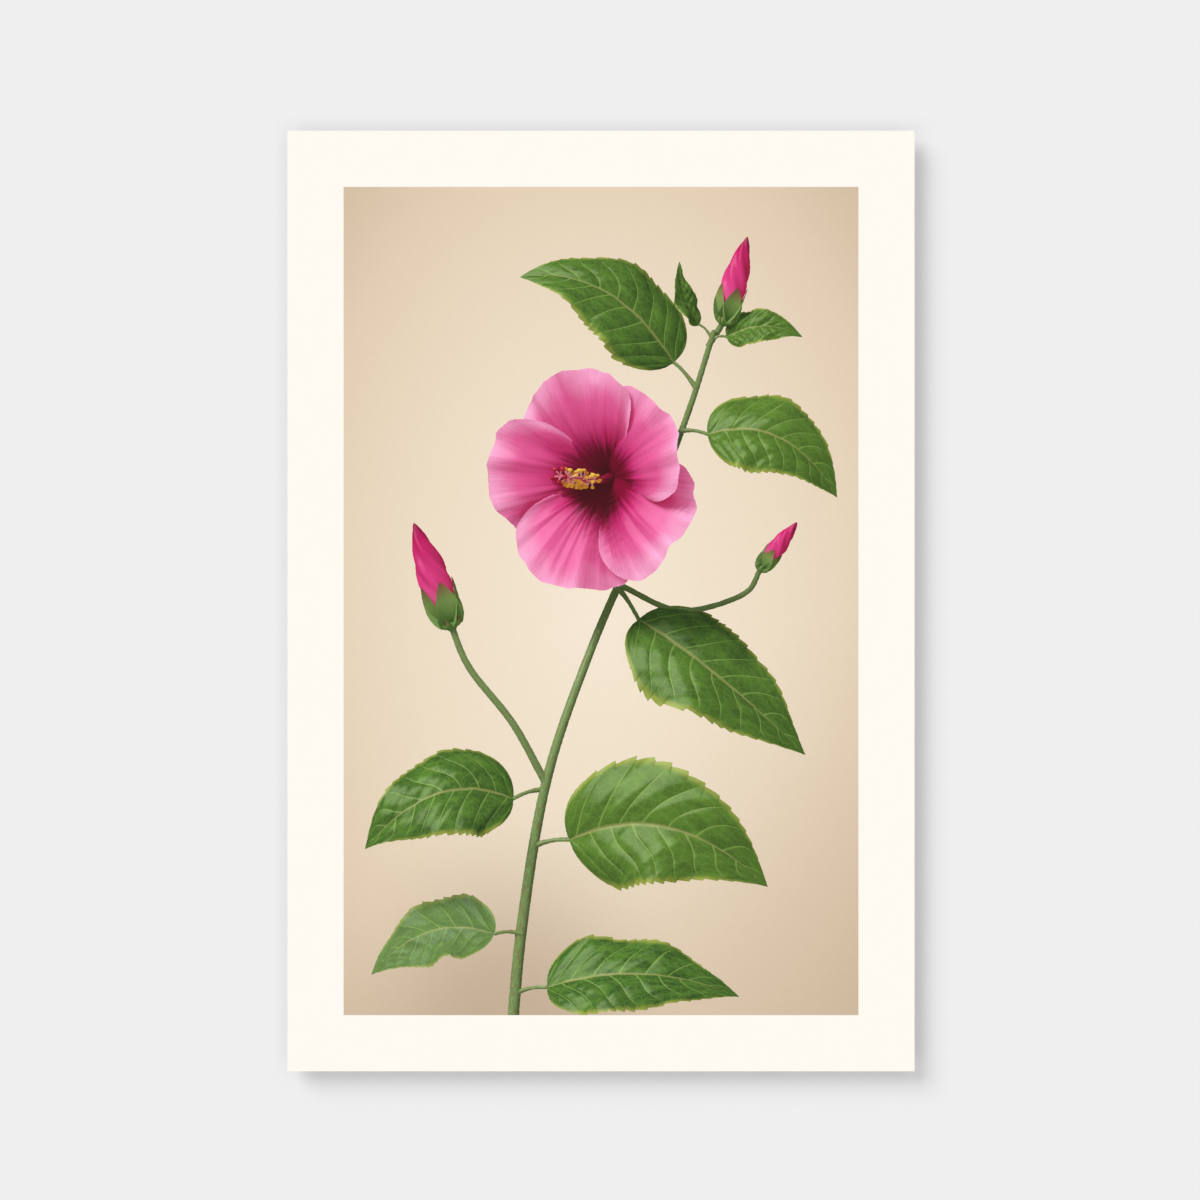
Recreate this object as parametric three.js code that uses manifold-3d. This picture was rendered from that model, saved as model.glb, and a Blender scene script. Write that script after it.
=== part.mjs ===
// A frameless art print that hangs clear of the wall.
// A sheet of heavy cotton paper with a plain margin is laminated on an aluminium composite board.
// Four channel rails, mitred into a frame and set well in from the edges, are glued to its back.
// The top rail drops over the heads of two wall screws, and four soft pads touch the wall.
//
// Millimetres. +X is the viewer's right, +Z is up, and +Y runs from the picture into the wall.
// The origin is in the wall plane, midway between the wall screws, on the lip edge that they carry.

import * as THREE from "three";
import { mergeVertices } from "three/addons/utils/BufferGeometryUtils.js";
import Module from "manifold-3d";

const wasm = await Module();
wasm.setup();

// The sheet and the board that it is laminated on
const printWidth = 400;
const printHeight = 600;
const paperThickness = 0.5;
const skinThickness = 0.3;
const coreThickness = 2.4;

// The channel rails. The slot between a rail's two lips faces the wall
const railInset = 60;
const railWidth = 20;
const railDepth = 10;
const railWall = 1.5;
const lipWidth = 5;
const mitreGap = 0.15;

// The angle keys inside the rails' corners. Each leg has one grub screw on its middle line
const keyWidth = 14;
const keyThickness = 3;
const keyLeg = 46;
const screwDownLeg = 32;
const screwRadius = 2.5;
const screwPlay = 0.15;
const screwRecess = 0.3;
const socketRadius = 1.45;
const socketDepth = 2.5;

// The wall pads, a low dome with a flat top each
const padRadius = 9;
const padTopRadius = 7.2;
const padThickness = 2;
const padShoulder = 1.1;

// Planes along Y, from the wall at 0 to the face of the paper
const lipFace = -padThickness;
const lipInside = lipFace - railWall;
const boardBack = lipFace - railDepth;
const railFloor = boardBack + railWall;
const coreBack = boardBack - skinThickness;
const coreFront = coreBack - coreThickness;
const boardFront = coreFront - skinThickness;

// The rail frame's outer half sizes, and the height of the lip edge that hangs on the screws
const frameHalfWidth = printWidth / 2 - railInset;
const frameHalfHeight = printHeight / 2 - railInset;
const hangingEdge = frameHalfHeight - lipWidth;

// The two screws' centres on a key, as distances from its two outer sides
const screwCentres = [
  [screwDownLeg, keyWidth / 2],
  [keyWidth / 2, screwDownLeg],
];

const roundSegments = 32;

const finishes = {
  paper: new THREE.MeshStandardMaterial({ color: 0xfefaf1, roughness: 0.92 }),
  skin: new THREE.MeshStandardMaterial({ color: 0xd9dbdc, roughness: 0.42, metalness: 0.8 }),
  core: new THREE.MeshStandardMaterial({ color: 0x26272a, roughness: 0.7 }),
  rail: new THREE.MeshStandardMaterial({ color: 0xc9ccce, roughness: 0.38, metalness: 1 }),
  key: new THREE.MeshStandardMaterial({ color: 0xb4b7ba, roughness: 0.45, metalness: 1 }),
  screw: new THREE.MeshStandardMaterial({ color: 0x3a3c3f, roughness: 0.4, metalness: 1 }),
  pad: new THREE.MeshStandardMaterial({ color: 0xe9e8e4, roughness: 0.55 }),
};

const artPrint = new THREE.Group();

// Everything about the print's centre hangs in this group
const hung = new THREE.Group();
hung.position.z = -hangingEdge;
artPrint.add(hung);

function addPiece(parent, name, geometry, finish) {
  const piece = new THREE.Mesh(geometry, finish);
  piece.name = name;
  parent.add(piece);
  return piece;
}

// A full-size layer of the sandwich, between two planes along Y
function addLayer(name, frontPlane, backPlane, finish) {
  const thickness = backPlane - frontPlane;
  const layer = addPiece(hung, name, new THREE.BoxGeometry(printWidth, thickness, printHeight), finish);
  layer.position.y = (frontPlane + backPlane) / 2;
}

// The rail's section: x is the distance in from the frame's outer side, and y is a plane along Y
function railSection() {
  const outline = [
    [0, boardBack],
    [railWidth, boardBack],
    [railWidth, lipFace],
    [railWidth - lipWidth, lipFace],
    [railWidth - lipWidth, lipInside],
    [railWidth - railWall, lipInside],
    [railWidth - railWall, railFloor],
    [railWall, railFloor],
    [railWall, lipInside],
    [lipWidth, lipInside],
    [lipWidth, lipFace],
    [0, lipFace],
  ];
  return new THREE.Shape(outline.map(([inward, plane]) => new THREE.Vector2(inward, plane)));
}

// A rail of the given outer length, its ends cut at 45 degrees, centred on its own Z axis
function railGeometry(outerLength) {
  const length = outerLength - 2 * mitreGap * Math.SQRT2;
  const rail = new THREE.ExtrudeGeometry(railSection(), { depth: length, bevelEnabled: false });
  rail.translate(0, 0, -length / 2);
  const place = rail.getAttribute("position");
  for (let i = 0; i < place.count; i += 1) {
    const end = Math.sign(place.getZ(i));
    place.setZ(i, place.getZ(i) - end * place.getX(i));
  }
  rail.computeVertexNormals();
  return rail;
}

// A turn about Y brings the rail's inward side, its own +X, to face the middle of the frame
function addRail(name, outerLength, distanceOut, turn) {
  const arm = new THREE.Group();
  arm.rotation.y = turn;
  hung.add(arm);
  const rail = addPiece(arm, name, railGeometry(outerLength), finishes.rail);
  rail.position.x = -distanceOut;
}

// The angle key on the plane y = 0, its outer corner at 0, 0 and its legs along +X and -Z
function keyGeometry() {
  const outline = [
    [0, 0],
    [keyLeg, 0],
    [keyLeg, keyWidth],
    [keyWidth, keyWidth],
    [keyWidth, keyLeg],
    [0, keyLeg],
  ];
  const shape = new THREE.Shape(outline.map(([x, y]) => new THREE.Vector2(x, y)));
  for (const [x, y] of screwCentres) {
    const hole = new THREE.Path();
    hole.absarc(x, y, screwRadius + screwPlay, 0, 2 * Math.PI, true);
    shape.holes.push(hole);
  }
  const key = new THREE.ExtrudeGeometry(shape, {
    depth: keyThickness,
    bevelEnabled: false,
    curveSegments: roundSegments / 2,
  });
  return key.rotateX(-Math.PI / 2);
}

function solidOf(geometry) {
  const bare = geometry.clone();
  bare.deleteAttribute("normal");
  bare.deleteAttribute("uv");
  const merged = mergeVertices(bare);
  return new wasm.Manifold(
    new wasm.Mesh({
      numProp: 3,
      vertProperties: new Float32Array(merged.getAttribute("position").array),
      triVerts: new Uint32Array(merged.index.array),
    }),
  );
}

function geometryOf(solid) {
  const mesh = solid.getMesh();
  const geometry = new THREE.BufferGeometry();
  geometry.setAttribute("position", new THREE.BufferAttribute(mesh.vertProperties, 3));
  geometry.setIndex(new THREE.BufferAttribute(mesh.triVerts, 1));
  const faceted = geometry.toNonIndexed();
  faceted.computeVertexNormals();
  return faceted;
}

// A grub screw along Y, its socket open towards +Y
function screwGeometry(length) {
  const socketOverrun = 1;
  const shank = new THREE.CylinderGeometry(screwRadius, screwRadius, length, roundSegments);
  const socket = new THREE.CylinderGeometry(socketRadius, socketRadius, socketDepth + socketOverrun, 6);
  socket.translate(0, (length - socketDepth + socketOverrun) / 2, 0);
  return geometryOf(solidOf(shank).subtract(solidOf(socket)));
}

// One corner of the frame: its key with two screws, and the pad over the mitre.
// The turn about Y brings the key's legs, along +X and -Z, to the corner's own two rails
function addCorner(name, sideX, sideZ, turn) {
  const corner = new THREE.Group();
  corner.position.set(sideX * frameHalfWidth, 0, sideZ * frameHalfHeight);
  corner.rotation.y = turn;
  hung.add(corner);

  const keyInset = (railWidth - keyWidth) / 2;
  const key = addPiece(corner, `corner_key_${name}`, keyGeometry(), finishes.key);
  key.position.set(keyInset, lipInside - keyThickness, -keyInset);

  const screwTop = lipInside - screwRecess;
  screwCentres.forEach(([x, y], index) => {
    const geometry = screwGeometry(screwTop - railFloor);
    const screw = addPiece(corner, `grub_screw_${name}_${index + 1}`, geometry, finishes.screw);
    screw.position.set(keyInset + x, (screwTop + railFloor) / 2, -keyInset - y);
  });

  const pad = addPiece(corner, `wall_pad_${name}`, padGeometry(), finishes.pad);
  pad.position.set(railWidth / 2, lipFace, -railWidth / 2);
}

// A pad on its base at y = 0, its flat top towards the wall
function padGeometry() {
  const profile = [
    [0, 0],
    [padRadius, 0],
    [padRadius, padShoulder],
    [(padRadius + padTopRadius) / 2, padThickness - (padThickness - padShoulder) / 4],
    [padTopRadius, padThickness],
    [0, padThickness],
  ];
  return new THREE.LatheGeometry(
    profile.map(([radius, height]) => new THREE.Vector2(radius, height)),
    roundSegments,
  );
}

addLayer("art_print", boardFront - paperThickness, boardFront, finishes.paper);
addLayer("board_front_skin", boardFront, coreFront, finishes.skin);
addLayer("board_core", coreFront, coreBack, finishes.core);
addLayer("board_back_skin", coreBack, boardBack, finishes.skin);

addRail("rail_left", 2 * frameHalfHeight, frameHalfWidth, 0);
addRail("rail_top", 2 * frameHalfWidth, frameHalfHeight, Math.PI / 2);
addRail("rail_right", 2 * frameHalfHeight, frameHalfWidth, Math.PI);
addRail("rail_bottom", 2 * frameHalfWidth, frameHalfHeight, -Math.PI / 2);

addCorner("top_left", -1, 1, 0);
addCorner("top_right", 1, 1, Math.PI / 2);
addCorner("bottom_right", 1, -1, Math.PI);
addCorner("bottom_left", -1, -1, -Math.PI / 2);

export default artPrint;
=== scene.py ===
import math

import bmesh
import bpy
import numpy as np
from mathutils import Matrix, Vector


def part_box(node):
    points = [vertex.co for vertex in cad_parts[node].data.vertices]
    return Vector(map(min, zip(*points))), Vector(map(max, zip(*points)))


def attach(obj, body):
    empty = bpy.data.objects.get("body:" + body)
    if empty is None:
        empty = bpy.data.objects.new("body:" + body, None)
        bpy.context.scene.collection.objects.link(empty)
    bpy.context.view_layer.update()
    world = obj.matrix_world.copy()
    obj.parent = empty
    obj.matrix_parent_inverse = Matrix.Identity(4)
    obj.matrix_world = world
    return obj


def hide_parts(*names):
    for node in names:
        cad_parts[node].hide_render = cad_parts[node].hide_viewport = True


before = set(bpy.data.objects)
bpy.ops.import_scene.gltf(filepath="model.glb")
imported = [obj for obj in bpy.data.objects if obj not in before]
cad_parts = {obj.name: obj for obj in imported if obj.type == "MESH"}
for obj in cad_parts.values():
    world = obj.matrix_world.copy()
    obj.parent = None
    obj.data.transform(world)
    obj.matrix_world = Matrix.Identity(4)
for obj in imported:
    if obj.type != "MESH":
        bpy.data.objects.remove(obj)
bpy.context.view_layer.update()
print("frame loaded,", len(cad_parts), "nodes")

mm = 0.001
sheetLow, sheetHigh = (np.array(corner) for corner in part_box("art_print"))
sheetCentre = (sheetLow + sheetHigh) / 2


# Camera: straight on, a short tele lens, the sheet a little right of and below the middle
shot = {"lens": 100, "sensor": 36, "frameHeight": 0.7655, "sheetRight": 0.00064, "sheetDown": 0.00064}


def addCamera():
    camera = bpy.data.objects.new("camera", bpy.data.cameras.new("camera"))
    bpy.context.collection.objects.link(camera)
    camera.data.lens = shot["lens"]
    camera.data.sensor_width = shot["sensor"]
    distance = shot["frameHeight"] * shot["lens"] / shot["sensor"]
    camera.location = (sheetCentre[0] - shot["sheetRight"], sheetLow[1] - distance,
                       sheetCentre[2] + shot["sheetDown"])
    camera.rotation_euler = (math.pi / 2, 0, 0)
    bpy.context.scene.camera = camera


# Node trees. A wire is a node's output, and sums on wires add their nodes
def isColour(value):
    if isinstance(value, Wire):
        return value.socket.type in {"RGBA", "VECTOR"}
    return isinstance(value, tuple)


def opaque(colour):
    # A grey may be given as one number
    return (*colour, 1) if isinstance(colour, tuple) else (colour, colour, colour, 1)


def setStops(ramp, stops):
    while len(ramp.elements) < len(stops):
        ramp.elements.new(1)
    for element, (place, colour) in zip(ramp.elements, stops):
        element.position = place
        element.color = opaque(colour)


class Wire:
    def __init__(self, graph, socket):
        self.graph = graph
        self.socket = socket

    def __add__(self, other):
        return self.graph.maths("ADD", self, other)

    def __radd__(self, other):
        return self.graph.maths("ADD", other, self)

    def __sub__(self, other):
        return self.graph.maths("SUBTRACT", self, other)

    def __rsub__(self, other):
        return self.graph.maths("SUBTRACT", other, self)

    def __mul__(self, other):
        return self.graph.maths("MULTIPLY", self, other)

    def __rmul__(self, other):
        return self.graph.maths("MULTIPLY", other, self)

    def __truediv__(self, other):
        return self.graph.maths("DIVIDE", self, other)

    def __pow__(self, other):
        return self.graph.maths("POWER", self, other)


class Graph:
    def __init__(self, tree):
        self.tree = tree

    def add(self, kind, settings=None, inputs=None, output=0):
        node = self.tree.nodes.new(kind)
        for name, value in (settings or {}).items():
            if name == "stops":
                setStops(node.color_ramp, value)
            else:
                setattr(node, name, value)
        for name, value in (inputs or {}).items():
            self.feed(node.inputs[name], value)
        return Wire(self, node.outputs[output])

    def feed(self, socket, value):
        if isinstance(value, Wire):
            self.tree.links.new(value.socket, socket)
        elif socket.type == "RGBA":
            socket.default_value = opaque(value)
        elif socket.type == "VECTOR" and not isinstance(value, tuple):
            socket.default_value = (value, value, value)
        else:
            socket.default_value = value

    def maths(self, operation, first, second):
        if not isColour(first) and not isColour(second):
            return self.add("ShaderNodeMath", {"operation": operation}, {0: first, 1: second})
        if operation == "MULTIPLY" and not isColour(second):
            return self.add("ShaderNodeVectorMath", {"operation": "SCALE"}, {0: first, "Scale": second})
        if operation == "MULTIPLY" and not isColour(first):
            return self.add("ShaderNodeVectorMath", {"operation": "SCALE"}, {0: second, "Scale": first})
        return self.add("ShaderNodeVectorMath", {"operation": operation}, {0: first, 1: second})

    def work(self, operation, *values):
        return self.add("ShaderNodeMath", {"operation": operation}, dict(enumerate(values)))

    def mix(self, factor, first, second):
        # Inputs 6 and 7 and output 2 are the node's colours
        return self.add("ShaderNodeMix", {"data_type": "RGBA"}, {0: factor, 6: first, 7: second}, 2)

    def ramp(self, factor, stops):
        return self.add("ShaderNodeValToRGB", {"stops": stops}, {"Fac": factor})

    def step(self, low, high, value):
        return self.add("ShaderNodeMapRange", {"interpolation_type": "SMOOTHSTEP"},
                        {"Value": value, "From Min": low, "From Max": high})

    def noise(self, vector, scale, detail=2.0, roughness=0.5, distortion=0.0):
        return self.add("ShaderNodeTexNoise", {}, {"Vector": vector, "Scale": scale, "Detail": detail,
                                                   "Roughness": roughness, "Distortion": distortion})

    def voronoi(self, vector, feature="F1"):
        return self.add("ShaderNodeTexVoronoi", {"feature": feature}, {"Vector": vector, "Scale": 1.0})

    def least(self, colour, most):
        return self.add("ShaderNodeVectorMath", {"operation": "MINIMUM"}, {0: colour, 1: most})

    def vector(self, x, y, z):
        return self.add("ShaderNodeCombineXYZ", {}, {0: x, 1: y, 2: z})

    def split(self, vector):
        first = self.add("ShaderNodeSeparateXYZ", {}, {0: vector})
        return [Wire(self, socket) for socket in first.socket.node.outputs]

    def stretched(self, place, scales):
        parts = self.split(place)
        return self.vector(*(part * scale if scale else 0 for part, scale in zip(parts, scales)))

    def place(self):
        return self.add("ShaderNodeTexCoord", output="Object")

    def attribute(self, name):
        return self.add("ShaderNodeAttribute", {"attribute_name": name}, output="Vector")

    def bump(self, height, strength, distance):
        inputs = {"Height": height, "Strength": strength, "Distance": distance}
        return self.add("ShaderNodeBump", {}, inputs)


def startMaterial(name, **fixed):
    material = bpy.data.materials.new(name)
    material.use_nodes = True
    shader = material.node_tree.nodes["Principled BSDF"]
    for key, value in fixed.items():
        shader.inputs[key.replace("_", " ")].default_value = value
    return material, Graph(material.node_tree), shader.inputs


def srgb(red, green, blue):
    # The sRGB standard's own curve, from 0 to 255 on to the straight values that a socket takes
    def linear(value):
        share = value / 255
        return share / 12.92 if share <= 0.04045 else ((share + 0.055) / 1.055) ** 2.4
    return (linear(red), linear(green), linear(blue))


def tones(stops):
    return [(share, srgb(*colour)) for share, colour in stops]


# The studio: a plain wall and floor, soft even light, most of it from the front and the upper left
studio = {
    "exposure": 1.05,       # what a white surface that faces the camera gives back
    "wall": (239, 239, 239),
    "floor": (234, 234, 234),
    "floorHeight": -1.15,
    "wallReach": 5,
    "floorReach": 16,
    "wallGap": 0.0002,
    "seenRoom": (239, 239, 239),
    "roomInFront": 0.06,
    "roomBehind": 0.62,
    "roomFade": (0.0, 0.5),
    "roomBounces": 2.5,     # past so many the room is as dark as in front
    # What metal mirrors: brighter above than below, with a slanting strip that is brighter still
    "shinyRoom": {
        "below": 0.30,
        "above": 0.55,
        "fade": (-0.4, 0.9),
        "strip": 0.45,
        "stripRight": 0.8,
        "stripUp": 0.5,
        "stripPlace": 0.3,
        "stripFade": (0.05, 0.35),
    },
    "top": {"strength": 1.9, "towards": (0.15, 0.42, 1.0), "across": 30},
    # share of the light on the wall, degrees to the right, degrees up, degrees across
    "suns": {
        "front": (0.466, 0, 0, 5),
        "upperLeft": (0.318, -38, 38, 38),
        "lowerLeft": (0.072, -26, -26, 30),
        "lowerRight": (0.05, 24, -24, 26),
        "upperRight": (0.04, 24, 24, 26),
    },
    # watts, place, edge length
    "backLights": {
        "backLeft": (18, (-1.5, 1.9, 1.0), 1.4),
        "backRight": (9, (1.9, 1.6, 0.2), 1.2),
    },
}


def seenAs(red, green, blue):
    # The colour of a surface that the light shows as this one
    return tuple(value / studio["exposure"] for value in srgb(red, green, blue))


def addPlane(name, corners, shade, oneSided):
    mesh = bpy.data.meshes.new(name)
    mesh.from_pydata(corners, [], [(0, 1, 2, 3)])
    plane = bpy.data.objects.new(name, mesh)
    bpy.context.collection.objects.link(plane)
    material, graph, sockets = startMaterial(name, Roughness=0.95, Specular_IOR_Level=0.1)
    sockets["Base Color"].default_value = opaque(seenAs(*shade))
    if oneSided:
        output = material.node_tree.nodes["Material Output"]
        solid = Wire(graph, material.node_tree.nodes["Principled BSDF"].outputs[0])
        clear = graph.add("ShaderNodeBsdfTransparent")
        behind = graph.add("ShaderNodeNewGeometry", output="Backfacing")
        surface = graph.add("ShaderNodeMixShader", {}, {0: behind, 1: solid, 2: clear})
        graph.feed(output.inputs["Surface"], surface)
    mesh.materials.append(material)
    return plane


def addStage():
    wide, far = studio["wallReach"], studio["floorReach"]
    drop, gap = studio["floorHeight"], studio["wallGap"]
    upright = [(-wide, gap, drop), (wide, gap, drop), (wide, gap, wide), (-wide, gap, wide)]
    level = [(-far, -far, drop), (far, -far, drop), (far, far, drop), (-far, far, drop)]
    wall = addPlane("studio_wall", upright, studio["wall"], True)
    wall.visible_shadow = wall.visible_diffuse = wall.visible_glossy = wall.visible_transmission = False
    floor = addPlane("studio_floor", level, studio["floor"], False)
    floor.visible_shadow = floor.visible_diffuse = floor.visible_glossy = False


def addLight(name, kind, energy, towards, place=(0, 0, 0)):
    lamp = bpy.data.lights.new(name, kind)
    lamp.energy = energy
    light = bpy.data.objects.new(name, lamp)
    light.location = place
    light.rotation_euler = towards.to_track_quat("Z", "Y").to_euler()
    bpy.context.collection.objects.link(light)
    return light


def addLights():
    for name, (share, right, up, across) in studio["suns"].items():
        towards = Vector((math.tan(math.radians(right)), -1, math.tan(math.radians(up)))).normalized()
        sun = addLight(name, "SUN", share * studio["exposure"] * math.pi / -towards.y, towards)
        sun.data.angle = math.radians(across)
    # What lights the back and the floor gives no second bounce, or it would brighten the shadow on the wall
    top = studio["top"]
    sun = addLight("top", "SUN", top["strength"], Vector(top["towards"]))
    sun.data.angle = math.radians(top["across"])
    sun.data.cycles.max_bounces = 0
    sun.visible_glossy = False
    for name, (power, place, size) in studio["backLights"].items():
        panel = addLight(name, "AREA", power, Vector(place) - Vector(sheetCentre), place)
        panel.data.size = size
        panel.data.cycles.max_bounces = 0


def addRoom():
    world = bpy.data.worlds.new("studio")
    world.use_nodes = True
    world.cycles.sampling_method = "NONE"
    bpy.context.scene.world = world
    graph = Graph(world.node_tree)

    def ray(output):
        return graph.add("ShaderNodeLightPath", output=output)

    x, y, z = graph.split(graph.add("ShaderNodeTexCoord", output="Generated"))
    direct = graph.work("LESS_THAN", ray("Ray Depth"), studio["roomBounces"])
    behind = graph.step(*studio["roomFade"], y) * direct
    room = graph.mix(behind, studio["roomInFront"], studio["roomBehind"])
    shiny = studio["shinyRoom"]
    offStrip = x * shiny["stripRight"] + z * shiny["stripUp"] - shiny["stripPlace"]
    strip = 1 - graph.step(*shiny["stripFade"], graph.work("ABSOLUTE", offStrip))
    bright = shiny["below"] + graph.step(*shiny["fade"], z) * shiny["above"] + strip * shiny["strip"]
    mirrored = graph.work("LESS_THAN", ray("Diffuse Depth"), 0.5) * ray("Is Glossy Ray")
    room = graph.mix(mirrored, room, graph.vector(bright, bright, bright))
    seen = graph.mix(ray("Is Camera Ray"), room, srgb(*studio["seenRoom"]))
    graph.feed(world.node_tree.nodes["Background"].inputs["Color"], seen)
    bpy.context.scene.view_settings.view_transform = "Standard"


# The sheet is cut into coarse cells, and the picture is painted on a lattice with so many steps along
# each cell. Cells are then split until they are as fine as what they show
sheet = {
    "cellsAcross": 22,
    "cellsUp": 33,
    "margin": 2,            # coarse cells
    "marginWidth": 0.0358,  # metres, to which those cells are stretched
    "steps": 64,
    "smallest": 2,          # steps
    "smallestMixed": 4,
    "lightError": 0.035,
    "glossError": 0.08,
    "placeError": 0.03,
    "toneError": 1,
    "finestErrors": 1.6,    # times those above, before a cell is split to the smallest
    "hubInset": 0.5,        # half steps, from a cell's edges to the middle of its triangles
}
pitch = (sheetHigh[0] - sheetLow[0]) / mm / sheet["cellsAcross"] / sheet["steps"]
latticeShape = tuple((sheet[key] - 2 * sheet["margin"]) * sheet["steps"] + 1
                     for key in ("cellsAcross", "cellsUp"))

# How things are put on the lattice
painting = {
    "nothing": -1e4,        # mm, the height where no plant stands
    "edgeOn": 1e-4,         # how flat a surface looks that is seen on its edge
    "furthest": 1.5,        # rows or columns of a surface's own points, from one to the lattice's nearest
    "backdrop": 1,          # its label. The paper's is 0, and the plant's are higher
}
tiny = 1e-9                 # keeps a length from being nought
goldenAngle = 2.39996       # spreads things evenly round an axis


def unit(vector):
    vector = np.asarray(vector, float)
    return vector / np.linalg.norm(vector)


def smooth(low, high, x):
    t = np.clip((x - low) / (high - low), 0, 1)
    return t * t * (3 - 2 * t)


class Canvas:
    # What the lattice holds at each point: how high the plant stands there, which element it is, where on
    # the element the point is (along, across and a tone of its own), and the way its surface faces
    def __init__(self):
        self.height = np.full(latticeShape, painting["nothing"], np.float32)
        self.label = np.full(latticeShape, painting["backdrop"], np.int32)
        self.place = np.zeros(latticeShape + (3,), np.float32)
        self.normal = np.zeros(latticeShape + (3,), np.float32)
        self.normal[..., 2] = 1
        self.inks = ["paper", "backdrop"]

    def put(self, points, along, across, tone, ink, underInk=None):
        down, over = np.gradient(points, axis=0), np.gradient(points, axis=1)
        normal = np.cross(over, down)
        flat = normal[..., 2].copy()
        normal /= np.linalg.norm(normal, axis=-1, keepdims=True) + tiny
        away = flat < 0
        normal = np.where(away[..., None], -normal, normal)
        first = len(self.inks)
        self.inks += [ink, underInk or ink]
        # Each point goes to the nearest on the lattice, and what is put there is read off where the surface
        # crosses it, some way between the surface's own points
        middle = (np.array(latticeShape) - 1) / 2
        cell = np.rint(points[..., :2] / pitch + middle).astype(np.int32)
        right, up = np.moveaxis((cell - middle) * pitch - points[..., :2], -1, 0)
        flat[np.abs(flat) < painting["edgeOn"]] = np.inf
        rows = (up * over[..., 0] - right * over[..., 1]) / flat
        columns = (right * down[..., 1] - up * down[..., 0]) / flat
        furthest = painting["furthest"]
        rows, columns = (np.clip(count, -furthest, furthest)[..., None] for count in (rows, columns))
        place = np.stack(np.broadcast_arrays(along, across, np.float64(tone)), -1)
        place = place + rows * np.gradient(place, axis=0) + columns * np.gradient(place, axis=1)
        high = (points[..., 2:] + rows * down[..., 2:] + columns * over[..., 2:])[..., 0]
        inside = ((cell >= 0) & (cell < np.array(latticeShape))).all(-1).ravel()
        index = (cell[..., 0] * latticeShape[1] + cell[..., 1]).ravel()[inside]
        high = high.ravel()[inside]
        order = np.argsort(high, kind="stable")
        order = order[high[order] > self.height.ravel()[index[order]]]
        target = index[order]
        self.height.ravel()[target] = high[order]
        self.label.ravel()[target] = first + (away.ravel()[inside][order] if underInk else 0)
        self.place.reshape(-1, 3)[target] = place.reshape(-1, 3)[inside][order]
        self.normal.reshape(-1, 3)[target] = normal.reshape(-1, 3)[inside][order]

    def settle(self):
        # Evens out the jitter between neighbouring points of one element
        fields = [self.place, self.normal, self.height[..., None]]
        sums = [field.copy() for field in fields]
        count = np.ones(latticeShape + (1,), np.float32)
        for right in (-1, 0, 1):
            for up in (-1, 0, 1):
                here, there = overlap(right, up)
                same = (self.label[here] == self.label[there])[..., None]
                count[here] += same
                for total, field in zip(sums, fields):
                    total[here] += field[there] * same
        self.place, self.normal = sums[0] / count, sums[1] / count
        self.height = (sums[2] / count)[..., 0]
        self.normal /= np.linalg.norm(self.normal, axis=-1, keepdims=True) + tiny


def overlap(right, up):
    # The lattice's points that have another so many steps away, and those others
    moves = list(zip((right, up), latticeShape))
    here = tuple(slice(max(-move, 0), size - max(move, 0)) for move, size in moves)
    there = tuple(slice(max(move, 0), size - max(-move, 0)) for move, size in moves)
    return here, there


# A spine is a curve in space that knows its side and front directions
def bezier(start, middle, end, count=240):
    t = np.linspace(0, 1, count)[:, None]
    start, middle, end = (np.asarray(point, float) for point in (start, middle, end))
    return (1 - t) ** 2 * start + 2 * t * (1 - t) * middle + t * t * end


def throughPoints(points, perSpan=40):
    p = np.asarray(points, float)
    p = np.vstack([2 * p[0] - p[1], p, 2 * p[-1] - p[-2]])
    t = np.linspace(0, 1, perSpan, endpoint=False)[:, None]
    spans = [0.5 * (2 * b + (c - a) * t + (2 * a - 5 * b + 4 * c - d) * t ** 2
                    + (3 * b - a - 3 * c + d) * t ** 3)
             for a, b, c, d in zip(p, p[1:], p[2:], p[3:])]
    return np.vstack(spans + [p[-2:-1]])


def turned(side, front, angle):
    cos, sin = np.cos(angle), np.sin(angle)
    return side * cos + front * sin, front * cos - side * sin


def spineOf(curve, face=(0, 0, 1), twist=0.0):
    along = np.concatenate([[0], np.cumsum(np.linalg.norm(np.diff(curve, axis=0), axis=1))])
    tangent = np.gradient(curve, axis=0)
    tangent /= np.linalg.norm(tangent, axis=1, keepdims=True)
    side = np.cross(tangent, np.asarray(face, float))
    side /= np.linalg.norm(side, axis=1, keepdims=True)
    side, front = turned(side, np.cross(side, tangent), twist)
    return {"along": along, "at": curve, "side": side, "front": front, "length": along[-1]}


def onSpine(spine, along, sideways, forward):
    def read(name):
        return np.stack([np.interp(along, spine["along"], spine[name][:, k]) for k in range(3)], -1)
    return read("at") + sideways[..., None] * read("side") + forward[..., None] * read("front")


def grid(length, width, finest=0.16, fewest=12):
    # Points close enough that none on the lattice is missed: u runs from foot to tip, v from side to side
    rows, columns = (int(max(fewest, size / finest)) for size in (length, width))
    return np.linspace(0, 1, rows)[:, None], np.linspace(-1, 1, columns)[None, :]


def waves(x, rng, *frequencies):
    # The first wave has a height of 1, and each other is lower as it's shorter
    return sum(np.sin(f * x + rng.uniform(0, 2 * math.pi)) * frequencies[0] / f for f in frequencies)


def tube(canvas, curve, radii, tone, ink):
    spine = spineOf(np.asarray(curve, float))
    u, v = grid(spine["length"], max(radii) * 5)
    radius = np.interp(u, np.linspace(0, 1, len(radii)), radii) + 0 * v
    angle = v * math.pi
    points = onSpine(spine, u * spine["length"] + 0 * v, radius * np.sin(angle), radius * np.cos(angle))
    canvas.put(points, u * spine["length"] / 10, v, tone, ink)      # a stem's own u is in centimetres


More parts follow.
